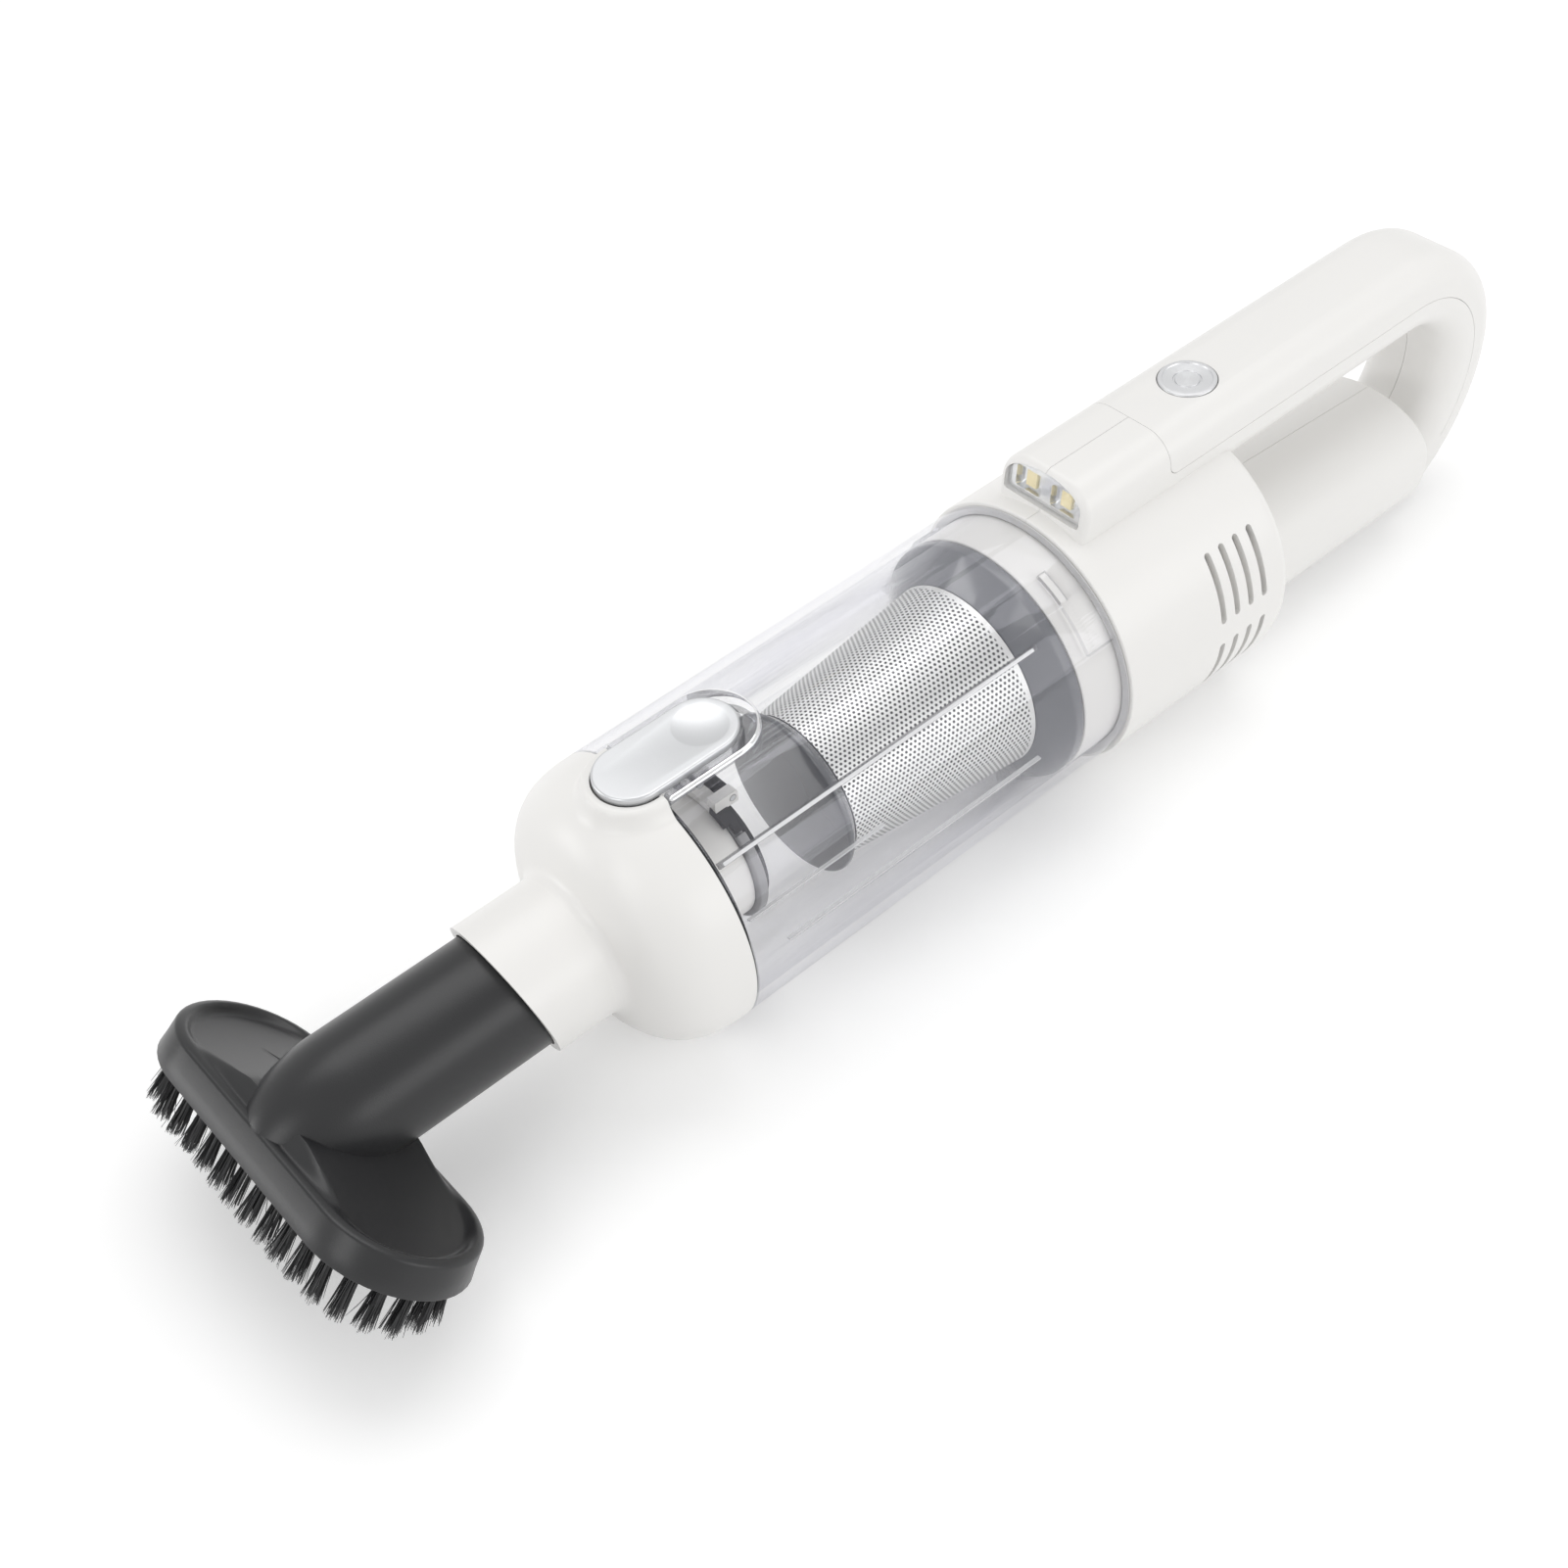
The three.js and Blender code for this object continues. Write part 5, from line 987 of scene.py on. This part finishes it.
cone = turned("steel_cone", [
    (CONE_FRONT, CONE_SMALL - CONE_SHEET),
    *((CONE_FRONT + (CONE_REAR - CONE_FRONT) * i / CONE_STEPS,
       CONE_SMALL + (CONE_LARGE - CONE_SMALL) * i / CONE_STEPS) for i in range(CONE_STEPS + 1)),
    (CONE_REAR, CONE_LARGE - CONE_SHEET)], 192)
sheet = cone.data.uv_layers.new(name="sheet")
for face in cone.data.polygons:
    corners = [cone.data.vertices[i].co for i in face.vertices]
    angles = [atan2(corner.y, corner.z) for corner in corners]
    for loop, corner, angle in zip(face.loop_indices, corners, angles):
        if max(angles) - min(angles) > pi and angle < 0:
            angle += 2 * pi
        sheet.data[loop].uv = (corner.x, angle * (CONE_SMALL + CONE_LARGE) / 2)
mark(cone, "punched", lambda centre, normal, square: (
    CONE_REAR + PLAIN_REAR < centre.x < CONE_FRONT - PLAIN_FRONT))
dress(cone, "mesh_cone")

dress(turned("cyclone_skirt", rounded([
    (-98, 23.7), (-98, 24.9), (-102.3, 24.9), (-102.3, 26.3, 0.3), (-108, 34.6, 1.0), (-111, 34.6, 0.4),
    (-111, 32.9, 0.4), (-108, 32.9, 1.0), (-103.7, 25.4), (-103.7, 23.2)], 4)),
    "cyclone_flange", "flange_plastic")

# %% [markdown]
# ## Motor unit
# The white collar inside the back of the cup carries three lugs that run in the cup's slots.

# %% Collar and rear seal
collar = turned("motor_ring", rounded([
    (-131, 32.2), (-131, 35.4), (-126, 35.4, 0.3), (-126, 34.7), (-111.3, 34.7, 0.5),
    (-111.3, 32.2, 0.5), (-120, 32.2), (-120, 22.9), (-104.7, 22.9), (-104.7, 20.5),
    (-122, 20.5), (-122, 32.2)], 4))
for turn in LOCK_TURNS:
    join(collar, wedge("lug", -117.6, -115.7, 33, 36.2, (21.9 + turn, 35.9 + turn)))
dress(collar, "motor_collar")
dress(tube("rear_seal", -124.7, -124.3, 35, 37.3, 0.15), "cup_seal", "pale_rubber")

# %% [markdown]
# ## Housing
# Barrel, handle and battery block are one skin. The handle is a rounded bar that is drawn straight
# back over the barrel, then turned down through a quarter circle and forward again into the block.
# A face pushed straight and then spun twice gives that sweep with exact arcs.

# %% Barrel, loop and battery block
BARREL_FRONT, BARREL_REAR, BARREL_RADIUS = -124.8, -186.5, 38.3
SHELL_WALL = 2.2
GRIP_HALF_WIDTH, GRIP_HEIGHT, GRIP_HALF_THICKNESS, GRIP_CORNER = 15.0, 39.0, 11.0, 8.5
LOOP_CENTRE, LOOP_RADIUS, LOOP_TURN = Vector((-262.0, 0, 9.0)), 30.0, 90
FOOT_CENTRE, FOOT_RADIUS = Vector((-252.0, 0, 9.0)), 40.0
FOOT_CLIP = -12.0
POD_FRONT, POD_HEIGHT, POD_LEAN, POD_ROUND = -129.0, 35.0, radians(9), 2.4
PACK_CENTRE, PACK_TOP, PACK_TOP_REAR, PACK_SIDE, PACK_BOTTOM = -10.0, 18.7, 13.7, 4.0, 21.0
PACK_HALF_WIDTH, PACK_REAR, PACK_ROUND = 23.0, -266.0, 1.6


def loop_solid(name, front, inset, foot_turn, leaning=False):
    """The handle's bar. A leaning one has the lamp pod's face, with a soft edge, as its front."""
    section = round_box(GRIP_HALF_WIDTH - inset, GRIP_HEIGHT - GRIP_HALF_THICKNESS + inset,
                        GRIP_HEIGHT + GRIP_HALF_THICKNESS - inset, GRIP_CORNER - inset, 10)
    bm, _ = prism_mesh(section, "X", front, LOOP_CENTRE.x)
    if leaning:
        near = [vert for vert in bm.verts if vert.co.x > front - 1]
        for vert in near:
            vert.co.x = POD_FRONT - (vert.co.z - POD_HEIGHT) * tan(POD_LEAN)
        round_rim(bm, near, POD_ROUND, 8)
    for centre, turn, end_lies in ((LOOP_CENTRE, LOOP_TURN, lambda middle: middle.x),
                                   (FOOT_CENTRE, foot_turn, lambda middle: middle.z)):
        end = max(bm.faces, key=lambda face: len(face.verts) > 8 and abs(
            end_lies(face.calc_center_median()) - end_lies(LOOP_CENTRE)) < 0.01)
        spin(bm, [end], (0, -1, 0), radians(turn), turn // 3, centre)
        bmesh.ops.delete(bm, geom=[end], context="FACES_ONLY")
    return piece_from(name, bm)


def pack_solid(name, front, rear, inset, edge=0.0):
    """The battery block: two half ellipses and straight sides. Its top falls towards the rear."""
    half = PACK_HALF_WIDTH - inset
    outline = arc(0, PACK_CENTRE, half, PACK_TOP - inset, 0, pi, 48)
    outline += arc(0, PACK_CENTRE - PACK_SIDE, -half, inset - PACK_BOTTOM, 0, pi, 48)
    bm, far = prism_mesh(outline, "X", front, rear)
    if edge:
        round_rim(bm, far, edge, 6)
    fall = (PACK_TOP_REAR / PACK_TOP - 1) / (PACK_REAR - BARREL_REAR)
    for vert in bm.verts:
        above = vert.co.z - PACK_CENTRE
        if above > 0:
            vert.co.z = PACK_CENTRE + above * (1 + fall * (vert.co.x - BARREL_REAR))
    return piece_from(name, bm)


def space(name, across, low, high):
    """A block that is longer than the housing."""
    return slab(name, -400, 100, across, low, high)


def with_foot(loop, inset):
    """Below a height the loop keeps inside the battery block's outline, so the two flow together."""
    foot = copy_of(loop, "foot")
    keep_within(foot, space("keep", 60, -80, FOOT_CLIP))
    keep_within(foot, pack_solid("outline", BARREL_REAR, -400, inset))
    return join(carve(loop, space("below", 60, -80, FOOT_CLIP)), foot)


shell = turned("housing", rounded([(BARREL_REAR, 0), (BARREL_REAR, BARREL_RADIUS, 5.0),
                                   (BARREL_FRONT, BARREL_RADIUS, 0.4), (BARREL_FRONT, 0)], 12))
join(shell, with_foot(loop_solid("loop", POD_FRONT + 12, 0, 75, True), 0),
     pack_solid("pack", BARREL_REAR + 6, PACK_REAR, 0, PACK_ROUND))
carve(shell, rod("motor_room", BARREL_REAR + SHELL_WALL, 0, BARREL_RADIUS - SHELL_WALL),
      with_foot(loop_solid("handle_room", -136, SHELL_WALL, 50), SHELL_WALL),
      pack_solid("pack_room", BARREL_REAR, PACK_REAR + SHELL_WALL, SHELL_WALL),
      space("rest", 80, -80, BARREL_FLOOR))
print("housing skin:", len(shell.data.polygons), "faces")

# %% [markdown]
# Behind the air slots stands a thin white screen, a millimetre in from the wall, so that air leaves
# round its edges and nobody sees, or pokes, the motor.

# %% Air slots and their screens
VENTS = [-159.3 - 5.23 * i for i in range(4)]
VENT_HALF_WIDTH = 1.0
VENT_ARCS = ((-83.0, -51.5), (51.5, 83.0), (-125.0, -93.4), (93.4, 125.0))
SCREEN_FRONT, SCREEN_REAR = VENTS[0] + 2.4, VENTS[-1] - 2.4

trim = degrees(VENT_HALF_WIDTH / BARREL_RADIUS)
for place in VENTS:
    for low, high in VENT_ARCS:
        ends = (low + trim, high - trim)
        slot = wedge("vent", place - VENT_HALF_WIDTH, place + VENT_HALF_WIDTH, 33, 41, ends)
        for end in ends:
            join(slot, spoke("end", place, end, VENT_HALF_WIDTH * 0.999, 33, 41))
        carve(shell, slot)
for middle in (88, -88):
    screen = wedge("screen", SCREEN_REAR, SCREEN_FRONT, 34.2, 35.2, (middle - 40, middle + 40))
    join(screen, wedge("bridge", SCREEN_REAR, SCREEN_FRONT, 34.8, 36.6, (middle - 1, middle + 1)))
    join(shell, screen)

# %% Lamp opening, button hole and charging hole
LAMP_BASE, LAMP_HEIGHT, LAMP_HALF_WIDTH, LAMP_SHOULDER, LAMP_CORNER = 39.4, 9.6, 12.7, 4.2, 1.2
BUTTON_RADIUS, BUTTON_TOP = 7.75, 50.4
SOCKET_FACE, SOCKET_HEIGHT = -302.7, 9
ROOM_GAP = 0.25
LEAN_BACK = (Matrix.Translation((POD_FRONT, 0, POD_HEIGHT)) @ Matrix.Rotation(-POD_LEAN, 4, "Y")
             @ Matrix.Translation((0, 0, -POD_HEIGHT)))


def lamp_piece(name, front, depth, grow=0.0, edge=0.0):
    """A D-shaped plate set back from the pod's leaning face."""
    half, shoulder = LAMP_HALF_WIDTH + grow, LAMP_BASE + LAMP_SHOULDER
    outline = rounded([(-half, shoulder), (-half, LAMP_BASE - grow, LAMP_CORNER),
                       (half, LAMP_BASE - grow, LAMP_CORNER), (half, shoulder)], 5)
    outline += arc(0, shoulder, half, LAMP_HEIGHT - LAMP_SHOULDER + grow, 0, pi, 40)[1:-1]
    piece = prism(name, outline, "X", front - depth, front)
    if edge:
        soften(piece, edge)
    piece.data.transform(LEAN_BACK)
    return piece


def socket_block(name, rear, front, half_width, half_height):
    return slab(name, rear, front, half_width, SOCKET_HEIGHT - half_height, SOCKET_HEIGHT + half_height)


hole = BUTTON_RADIUS + ROOM_GAP
carve(shell, lamp_piece("lamp_room", 10, 16.2, ROOM_GAP),
      turned("button_room", [(39, 0), (39, hole), (60, hole), (60, 0)], 128, BUTTON_PLACE),
      socket_block("socket_room", SOCKET_FACE - 20, SOCKET_FACE + 8.8, 5.8, 4.5))

# %% Split into two halves and the handle's cover
SEAM = 0.12
COVER_FRONT, COVER_CORNER = -161.5, 3.0
SCREWS = ((-215, 33.8, -5.5), (-256, 33.8, -5.5), (-152.3, -30, -8), (-191.5, -27.3, -8),
          (-258, -27.3, -8))


def cover_region(name, grow):
    """The space outside a line that follows the loop's middle, for the cover and for its opening."""
    points = rounded([(COVER_FRONT + grow, 200), (COVER_FRONT + grow, GRIP_HEIGHT - grow, COVER_CORNER),
                      (LOOP_CENTRE.x, GRIP_HEIGHT - grow), (-600, 200)], 8)[:-1]
    for centre, radius, start, end in ((LOOP_CENTRE, LOOP_RADIUS - grow, 90, 180),
                                       (FOOT_CENTRE, FOOT_RADIUS - grow, 180, 219)):
        points += arc(centre.x, centre.z, radius, radius, radians(start), radians(end),
                      (end - start) // 3)[1:]
    last = Vector(points[-1])
    out = (last - Vector((FOOT_CENTRE.x, FOOT_CENTRE.z))).normalized()
    points += [last + 200 * out, (-700, 9), (-700, 200)]
    return prism(name, points, "Y", -60, 60)


cover = keep_within(copy_of(shell, "loop_cover"), cover_region("cover_keep", 0))
carve(shell, cover_region("cover_off", SEAM))
for x, z, seat in SCREWS:
    carve(shell, rod_y("screw_hole", (x, z), 2.9, (-60, seat)))
for name, node, across in (("left_half", "housing_left", (SEAM / 2, 80)),
                           ("right_half", "housing_right", (-80, -SEAM / 2))):
    dress(keep_within(copy_of(shell, name), space("side", across, -80, 80)), node)
bpy.data.objects.remove(shell)
dress(cover, "handle_cover")

# %% Housing screws
for i, (x, z, seat) in enumerate(SCREWS, 1):
    screw = rod_y(f"cross_screw_{i}", (x, z), 2.6, (seat - 2.0, seat - 0.3))
    for wide, tall in ((0.4, 1.8), (1.8, 0.4)):
        carve(screw, slab("drive", x - wide, x + wide, (seat - 3, seat - 1.1), z - tall, z + tall))
    dress(join(screw, rod_y("shank", (x, z), 1.1, (seat - 1.0, seat + 12.0))), f"housing_screw_{i}")

# %% [markdown]
# ## Lamp and power button
# Behind the clear lens lies a mirror-bright tray with two yellow chips. The button's face has shallow
# turned rings, which catch the light as thin arcs.

# %% Lamp
CHIP_PLACE, CHIP_HALF_WIDTH, CHIP_HALF_HEIGHT = 6, 1.7, 2.2
PIT_NARROWING = 0.8

dress(lamp_piece("lamp_lens", -0.1, 1.1, edge=0.25), "led_lens", "lens_plastic")
tray = lamp_piece("lamp_tray", -1.5, 2.6)
for side in (-1, 1):
    outline = round_box(4.8, LAMP_BASE + 1.3, LAMP_BASE + LAMP_HEIGHT - 2.2, 0.8)
    pit = prism("pit", outline, "X", -3.2, 0)
    for vert in pit.data.vertices:
        vert.co.y = side * CHIP_PLACE + vert.co.y * (1.0 if vert.co.x > -1 else PIT_NARROWING)
    pit.data.transform(LEAN_BACK)
    carve(tray, pit)
dress(tray, "led_reflector")
for node, side in (("led_chip_left", 1), ("led_chip_right", -1)):
    left, right = side * CHIP_PLACE - CHIP_HALF_WIDTH, side * CHIP_PLACE + CHIP_HALF_WIDTH
    low, high = LAMP_BASE + 4.3 - CHIP_HALF_HEIGHT, LAMP_BASE + 4.3 + CHIP_HALF_HEIGHT
    chip = prism(node.replace("led", "lamp"), [(left, low), (right, low), (right, high), (left, high)],
                 "X", -3.15, -2.55)
    chip.data.transform(LEAN_BACK)
    dress(chip, node)

# %% Button and its spring
FLANGE_RADIUS, FLANGE_BOTTOM, FLANGE_TOP = 8.5, 45.15, 46.8
RIM_ROUND = 0.5
FACE_RINGS = ((0.0, 6.6), (-0.3, 6.45), *((-0.5 + 0.2 * (r / 6.2) ** 2, r) for r in (6.2, 5.0, 3.8)),
              (-0.75, 3.65), (-0.75, 3.3), (-0.45, 3.15), (-0.5, 0))

knob = [(FLANGE_BOTTOM, 0), (FLANGE_BOTTOM, FLANGE_RADIUS), (FLANGE_TOP, FLANGE_RADIUS),
        (FLANGE_TOP, BUTTON_RADIUS)]
knob += [(along, radius) for radius, along in arc(
    BUTTON_RADIUS - RIM_ROUND, BUTTON_TOP - RIM_ROUND, RIM_ROUND, RIM_ROUND, 0, pi / 2, 5)]
knob += [(BUTTON_TOP + drop, radius) for drop, radius in FACE_RINGS]
dress(turned("power_knob", knob, ROUND, BUTTON_PLACE), "power_button")
dress(coil("button_coil", BUTTON_PLACE, 5.5, 0.4, 40.7, 45.0), "button_spring")

# %% Charging socket
socket = socket_block("charging_port", SOCKET_FACE, SOCKET_FACE + 8.5, 5.5, 4.2)
slot = [(a, b + SOCKET_HEIGHT) for a, b in stadium(-4.4, 4.4, 1.5, 8)]
dress(carve(soften(socket, 0.4), prism("slot", slot, "X", SOCKET_FACE - 1, SOCKET_FACE + 6)),
      "charge_socket")

# %% [markdown]
# ## Dusting brush
# The head is drawn in its own flat frame and tilted at the end: u runs along it, t across it, n down
# to the bristles. Rings of the same slot shape, each a little smaller, are bridged from the lower rim
# over a round shoulder and into two dished wings that rise towards the neck.

# %% Head frame and rings
HEAD_PLACE, HEAD_TILT = Vector((95.8, 0, -4.6)), radians(46.6)
HEAD_HALF_LENGTH, HEAD_HALF_WIDTH = 49.3, 20.6
HEAD_STRAIGHT = HEAD_HALF_LENGTH - HEAD_HALF_WIDTH
SKIRT_DEPTH, SKIRT_FLARE, SKIRT_WALL = 7.7, 1.0, 2.2
SHOULDER_WIDTH, SHOULDER_HEIGHT = 2.6, 1.3
WING_LOW, WING_RISE, WING_START = -0.6, 6.0, 12.0
BLEND_START, BLEND_WIDTH = 2.0, 2.6
TO_HEAD = Matrix.Translation(HEAD_PLACE) @ Matrix((
    (0, sin(HEAD_TILT), cos(HEAD_TILT)), (1, 0, 0),
    (0, cos(HEAD_TILT), -sin(HEAD_TILT)))).to_4x4()


def on_head(piece):
    piece.data.transform(TO_HEAD)
    return piece


def head_ring(half_width, straight_steps=30, arc_steps=24):
    """Points of a slot shape of this half width, evenly spread so that rings can be bridged."""
    points = []
    for side in (1, -1):
        for i in range(straight_steps):
            points.append((side * HEAD_STRAIGHT * (1 - 2 * i / straight_steps), side * half_width))
        for i in range(arc_steps):
            turn = pi * i / arc_steps
            points.append((-side * (HEAD_STRAIGHT + half_width * sin(turn)),
                           side * half_width * cos(turn)))
    return points


def limited(share):
    return min(1.0, max(0.0, share))


def top_height(u, inward):
    """How high the head's top stands: a round shoulder that blends into a wing, inward of the rim."""
    away = limited((abs(u) - WING_START) / (HEAD_HALF_LENGTH - SHOULDER_WIDTH - WING_START))
    wing = WING_LOW + WING_RISE * (1 - sin(away * pi / 2))
    edge = limited(inward / SHOULDER_WIDTH)
    shoulder = SHOULDER_HEIGHT * sqrt(1 - (1 - edge) ** 2)
    share = limited((inward - BLEND_START) / BLEND_WIDTH)
    share = share * share * (3 - 2 * share)
    return shoulder * (1 - share) + wing * share


def head_solid():
    rim = HEAD_HALF_WIDTH + SKIRT_FLARE
    rings = [(rim - 0.4, lambda u: SKIRT_DEPTH), (rim - 0.1, lambda u: SKIRT_DEPTH - 0.12),
             (rim, lambda u: SKIRT_DEPTH - 0.4), (HEAD_HALF_WIDTH + 0.45, lambda u: 4.0),
             (HEAD_HALF_WIDTH, lambda u: 0.0)]
    inward = 0.0
    while inward < HEAD_HALF_WIDTH - 0.6:
        inward += 0.12 + 0.09 * inward if inward < 6 else 1.0
        inward = min(inward, HEAD_HALF_WIDTH - 0.5)
        rings.append((HEAD_HALF_WIDTH - inward, lambda u, inward=inward: -top_height(u, inward)))
    bm = bmesh.new()
    loops = []
    for half_width, depth_at in rings:
        verts = [bm.verts.new((u, t, depth_at(u))) for u, t in head_ring(half_width)]
        loops.append([bm.edges.new((verts[i - 1], verts[i])) for i in range(len(verts))])
        if len(loops) == 1:
            bm.faces.new(verts)
    for near, far in zip(loops, loops[1:]):
        bmesh.ops.bridge_loops(bm, edges=near + far)
    bmesh.ops.holes_fill(bm, edges=loops[-1], sides=0)
    return on_head(piece_from("brush_body", bm))


# %% Neck, head and hollow
NECK_RADIUS, NECK_BORE, NECK_REAR, NECK_EDGE = 16.4, 14.2, 22.0, 0.8
BEND_START, BEND_LENGTH = 88.0, 28.0


def neck_solid(name, radius, rear, length):
    """A straight round neck whose end closes in a long quarter ellipse."""
    straight = rounded([(rear, 0), (rear, radius, NECK_EDGE), (BEND_START, radius), (BEND_START, 0)], 4)
    return turned(name, straight[:-1] + arc(BEND_START, 0, length, radius, pi / 2, 0, 24)[1:])


neck = neck_solid("neck", NECK_RADIUS, NECK_REAR, BEND_LENGTH)
carve(neck, on_head(slab("below", -90, 90, 90, 2, 120)))
bore = neck_solid("bore", NECK_BORE, 10.0, BEND_LENGTH - 3)
keep_within(bore, on_head(slab("above", -90, 90, 90, -120, 3.5)))
hollow = on_head(prism("hollow", head_ring(HEAD_HALF_WIDTH - SKIRT_WALL), "Z", 3, 20))
brush = join(head_solid(), neck)
dress(carve(brush, hollow, bore), "brush_head")

# %% [markdown]
# The bristles are combed nylon, ninety filaments to a tuft. Each starts as a tiny triangle in
# the tuft's hole and is pushed out in four steps. At each step it thins, leans a little outward and
# wanders, so tips end ragged as cut bristles do. One seed keeps the brush the same in every run.

# %% Bristles
TUFT_RADIUS, FILAMENTS, FILAMENT_RADIUS = 1.45, 90, 0.135
ROOT_DEPTH, BRISTLE_END = 4.7, SKIRT_DEPTH + 12.0
BRISTLE_LINE = HEAD_HALF_WIDTH - SKIRT_WALL - 0.3 - 1.6
PUSHES, THINNING, TIP_THINNING, CURL = 4, 0.93, 0.55, 1.6
STRAY_SHARE, STRAY, WANDER, LENGTH_WANDER = 0.02, 2.2, 0.35, 0.55
OUTWARD, OPENING = 0.5, 0.75
ROW_TUFTS, END_TUFTS = 9, 8
FIELD_HALF_LENGTH, FIELD_REAR, FIELD_FRONT = HEAD_HALF_LENGTH + SKIRT_FLARE - 0.3, -21.0, 19.2
chance = random.Random(7)


def brush_tufts(name, places, node):
    """A piece with one tuft at each (u, t, outward u, outward t)."""
    bm = bmesh.new()
    tips = []
    for u, t, out_u, out_t in places:
        lean = Vector((OUTWARD * out_u + chance.uniform(-WANDER, WANDER),
                       OUTWARD * out_t + chance.uniform(-WANDER, WANDER)))
        for _ in range(FILAMENTS):
            away = TUFT_RADIUS * sqrt(chance.random())
            turn = chance.uniform(0, 2 * pi)
            spot = Vector((away * cos(turn), away * sin(turn)))
            root = Matrix.Translation((u + spot.x, t + spot.y, ROOT_DEPTH))
            ring = bmesh.ops.create_circle(bm, cap_ends=True, segments=3, radius=FILAMENT_RADIUS,
                                           matrix=root @ Matrix.Rotation(turn, 4, "Z"))["verts"]
            wild = STRAY if chance.random() < STRAY_SHARE else WANDER
            spread = OPENING * spot + lean + Vector((chance.gauss(0, wild), chance.gauss(0, wild)))
            reach = BRISTLE_END - ROOT_DEPTH - abs(chance.gauss(0, LENGTH_WANDER))
            tips.append((ring[0].link_faces[0], spread, reach))
    faces = [face for face, _, _ in tips]
    for push in range(1, PUSHES + 1):
        faces = bmesh.ops.extrude_discrete_faces(bm, faces=faces)["faces"]
        before, now = (push - 1) / PUSHES, push / PUSHES
        thinner = THINNING if push < PUSHES else TIP_THINNING
        for face, (_, spread, reach) in zip(faces, tips):
            centre = face.calc_center_median()
            step = Vector((*(spread * (now ** CURL - before ** CURL)), reach / PUSHES))
            for vert in face.verts:
                vert.co = centre + (vert.co - centre) * thinner + step
    for vert in bm.verts:
        vert.co.x = max(-FIELD_HALF_LENGTH, min(FIELD_HALF_LENGTH, vert.co.x))
        vert.co.y = max(FIELD_REAR, min(FIELD_FRONT, vert.co.y))
    dress(on_head(piece_from(name, bm)), node)


def row_places(side):
    return [(HEAD_STRAIGHT * 2 * ((i + 0.5) / ROW_TUFTS - 0.5), side * BRISTLE_LINE, 0, side)
            for i in range(ROW_TUFTS)]


def end_places(side):
    turns = [pi * ((i + 0.5) / END_TUFTS - 0.5) for i in range(END_TUFTS)]
    return [(side * (HEAD_STRAIGHT + BRISTLE_LINE * cos(turn)), BRISTLE_LINE * sin(turn),
             side * cos(turn), sin(turn)) for turn in turns]


brush_tufts("front_bristles", row_places(1), "bristle_row_front")
brush_tufts("rear_bristles", row_places(-1), "bristle_row_rear")
brush_tufts("right_bristles", end_places(-1), "bristle_end_right")
brush_tufts("left_bristles", end_places(1), "bristle_end_left")

# %% [markdown]
# ## Stage
# A white floor, a bright room and four soft lamps. The room's colour is what the camera sees
# and what gloss mirrors; the lamps are broad so highlights on the white shell run long and soft.
# The floor glows a little for the eye, for gloss and for clear plastic, but lights nothing itself.

# %% Floor
FLOOR_HALF, FLOOR_GLOW = 6.0, 0.2

bm = bmesh.new()
bmesh.ops.create_grid(bm, x_segments=1, y_segments=1, size=FLOOR_HALF)
floor = stand("floor", bpy.data.meshes.new("floor"))
bm.to_mesh(floor.data)
bm.free()
finish = Finish("floor_white", Roughness=1.0, Specular_IOR_Level=0.0)
finish.material.cycles.emission_sampling = "NONE"
finish.surface(Base_Color=finish.mix(finish.noise(60.0), (0.92, 0.92, 0.92), (0.915, 0.915, 0.915)),
               Emission_Color=(1.0, 1.0, 1.0), Emission_Strength=finish.seen() * FLOOR_GLOW)
floor.data.materials.append(finish.material)
floor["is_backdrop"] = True

# %% Room and lamps
ROOM_LIGHT, ROOM_SEEN = 0.78, 1.05

world = bpy.data.worlds.new("room")
bpy.context.scene.world = world
world.use_nodes = True
room = Nodes(world.node_tree)
room.tree.nodes.clear()
strength = room.node("ShaderNodeMapRange", inputs={
    "Value": room.seen(), "To Min": ROOM_LIGHT, "To Max": ROOM_SEEN})
room.node("ShaderNodeOutputWorld", inputs={
    "Surface": room.node("ShaderNodeBackground", inputs={"Strength": strength})})

for name, place, target, size, power in (
        ("left", (-0.5, 1.3, 0.5), (0, 0, 0.04), (1.4, 0.7), 5.0),
        ("top", (-0.35, -0.3, 1.3), (0, 0, 0.04), (1.4, 0.75), 5.6),
        ("front", (1.3, 0.2, 0.8), (0.05, 0, 0.04), (0.5, 0.9), 3.0),
        ("low", (1.1, -0.8, 0.25), (0.15, 0, 0.03), (0.5, 0.4), 2.2)):
    lamp = stand(name, bpy.data.lights.new(name, "AREA"))
    lamp.data.shape = "RECTANGLE"
    lamp.data.size, lamp.data.size_y = size
    lamp.data.energy = power
    lamp.location = place
    lamp.rotation_mode = "QUATERNION"
    lamp.rotation_quaternion = (Vector(target) - Vector(place)).to_track_quat("-Z", "Y")

# %% Sizes of the CAD box and the dressed box
boxes = [[list(corner) for corner in box] for box in (cad_box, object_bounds())]
for kind, box in zip(("CAD box:", "dressed box:"), boxes):
    print(kind, [[round(value, 4) for value in corner] for corner in box])
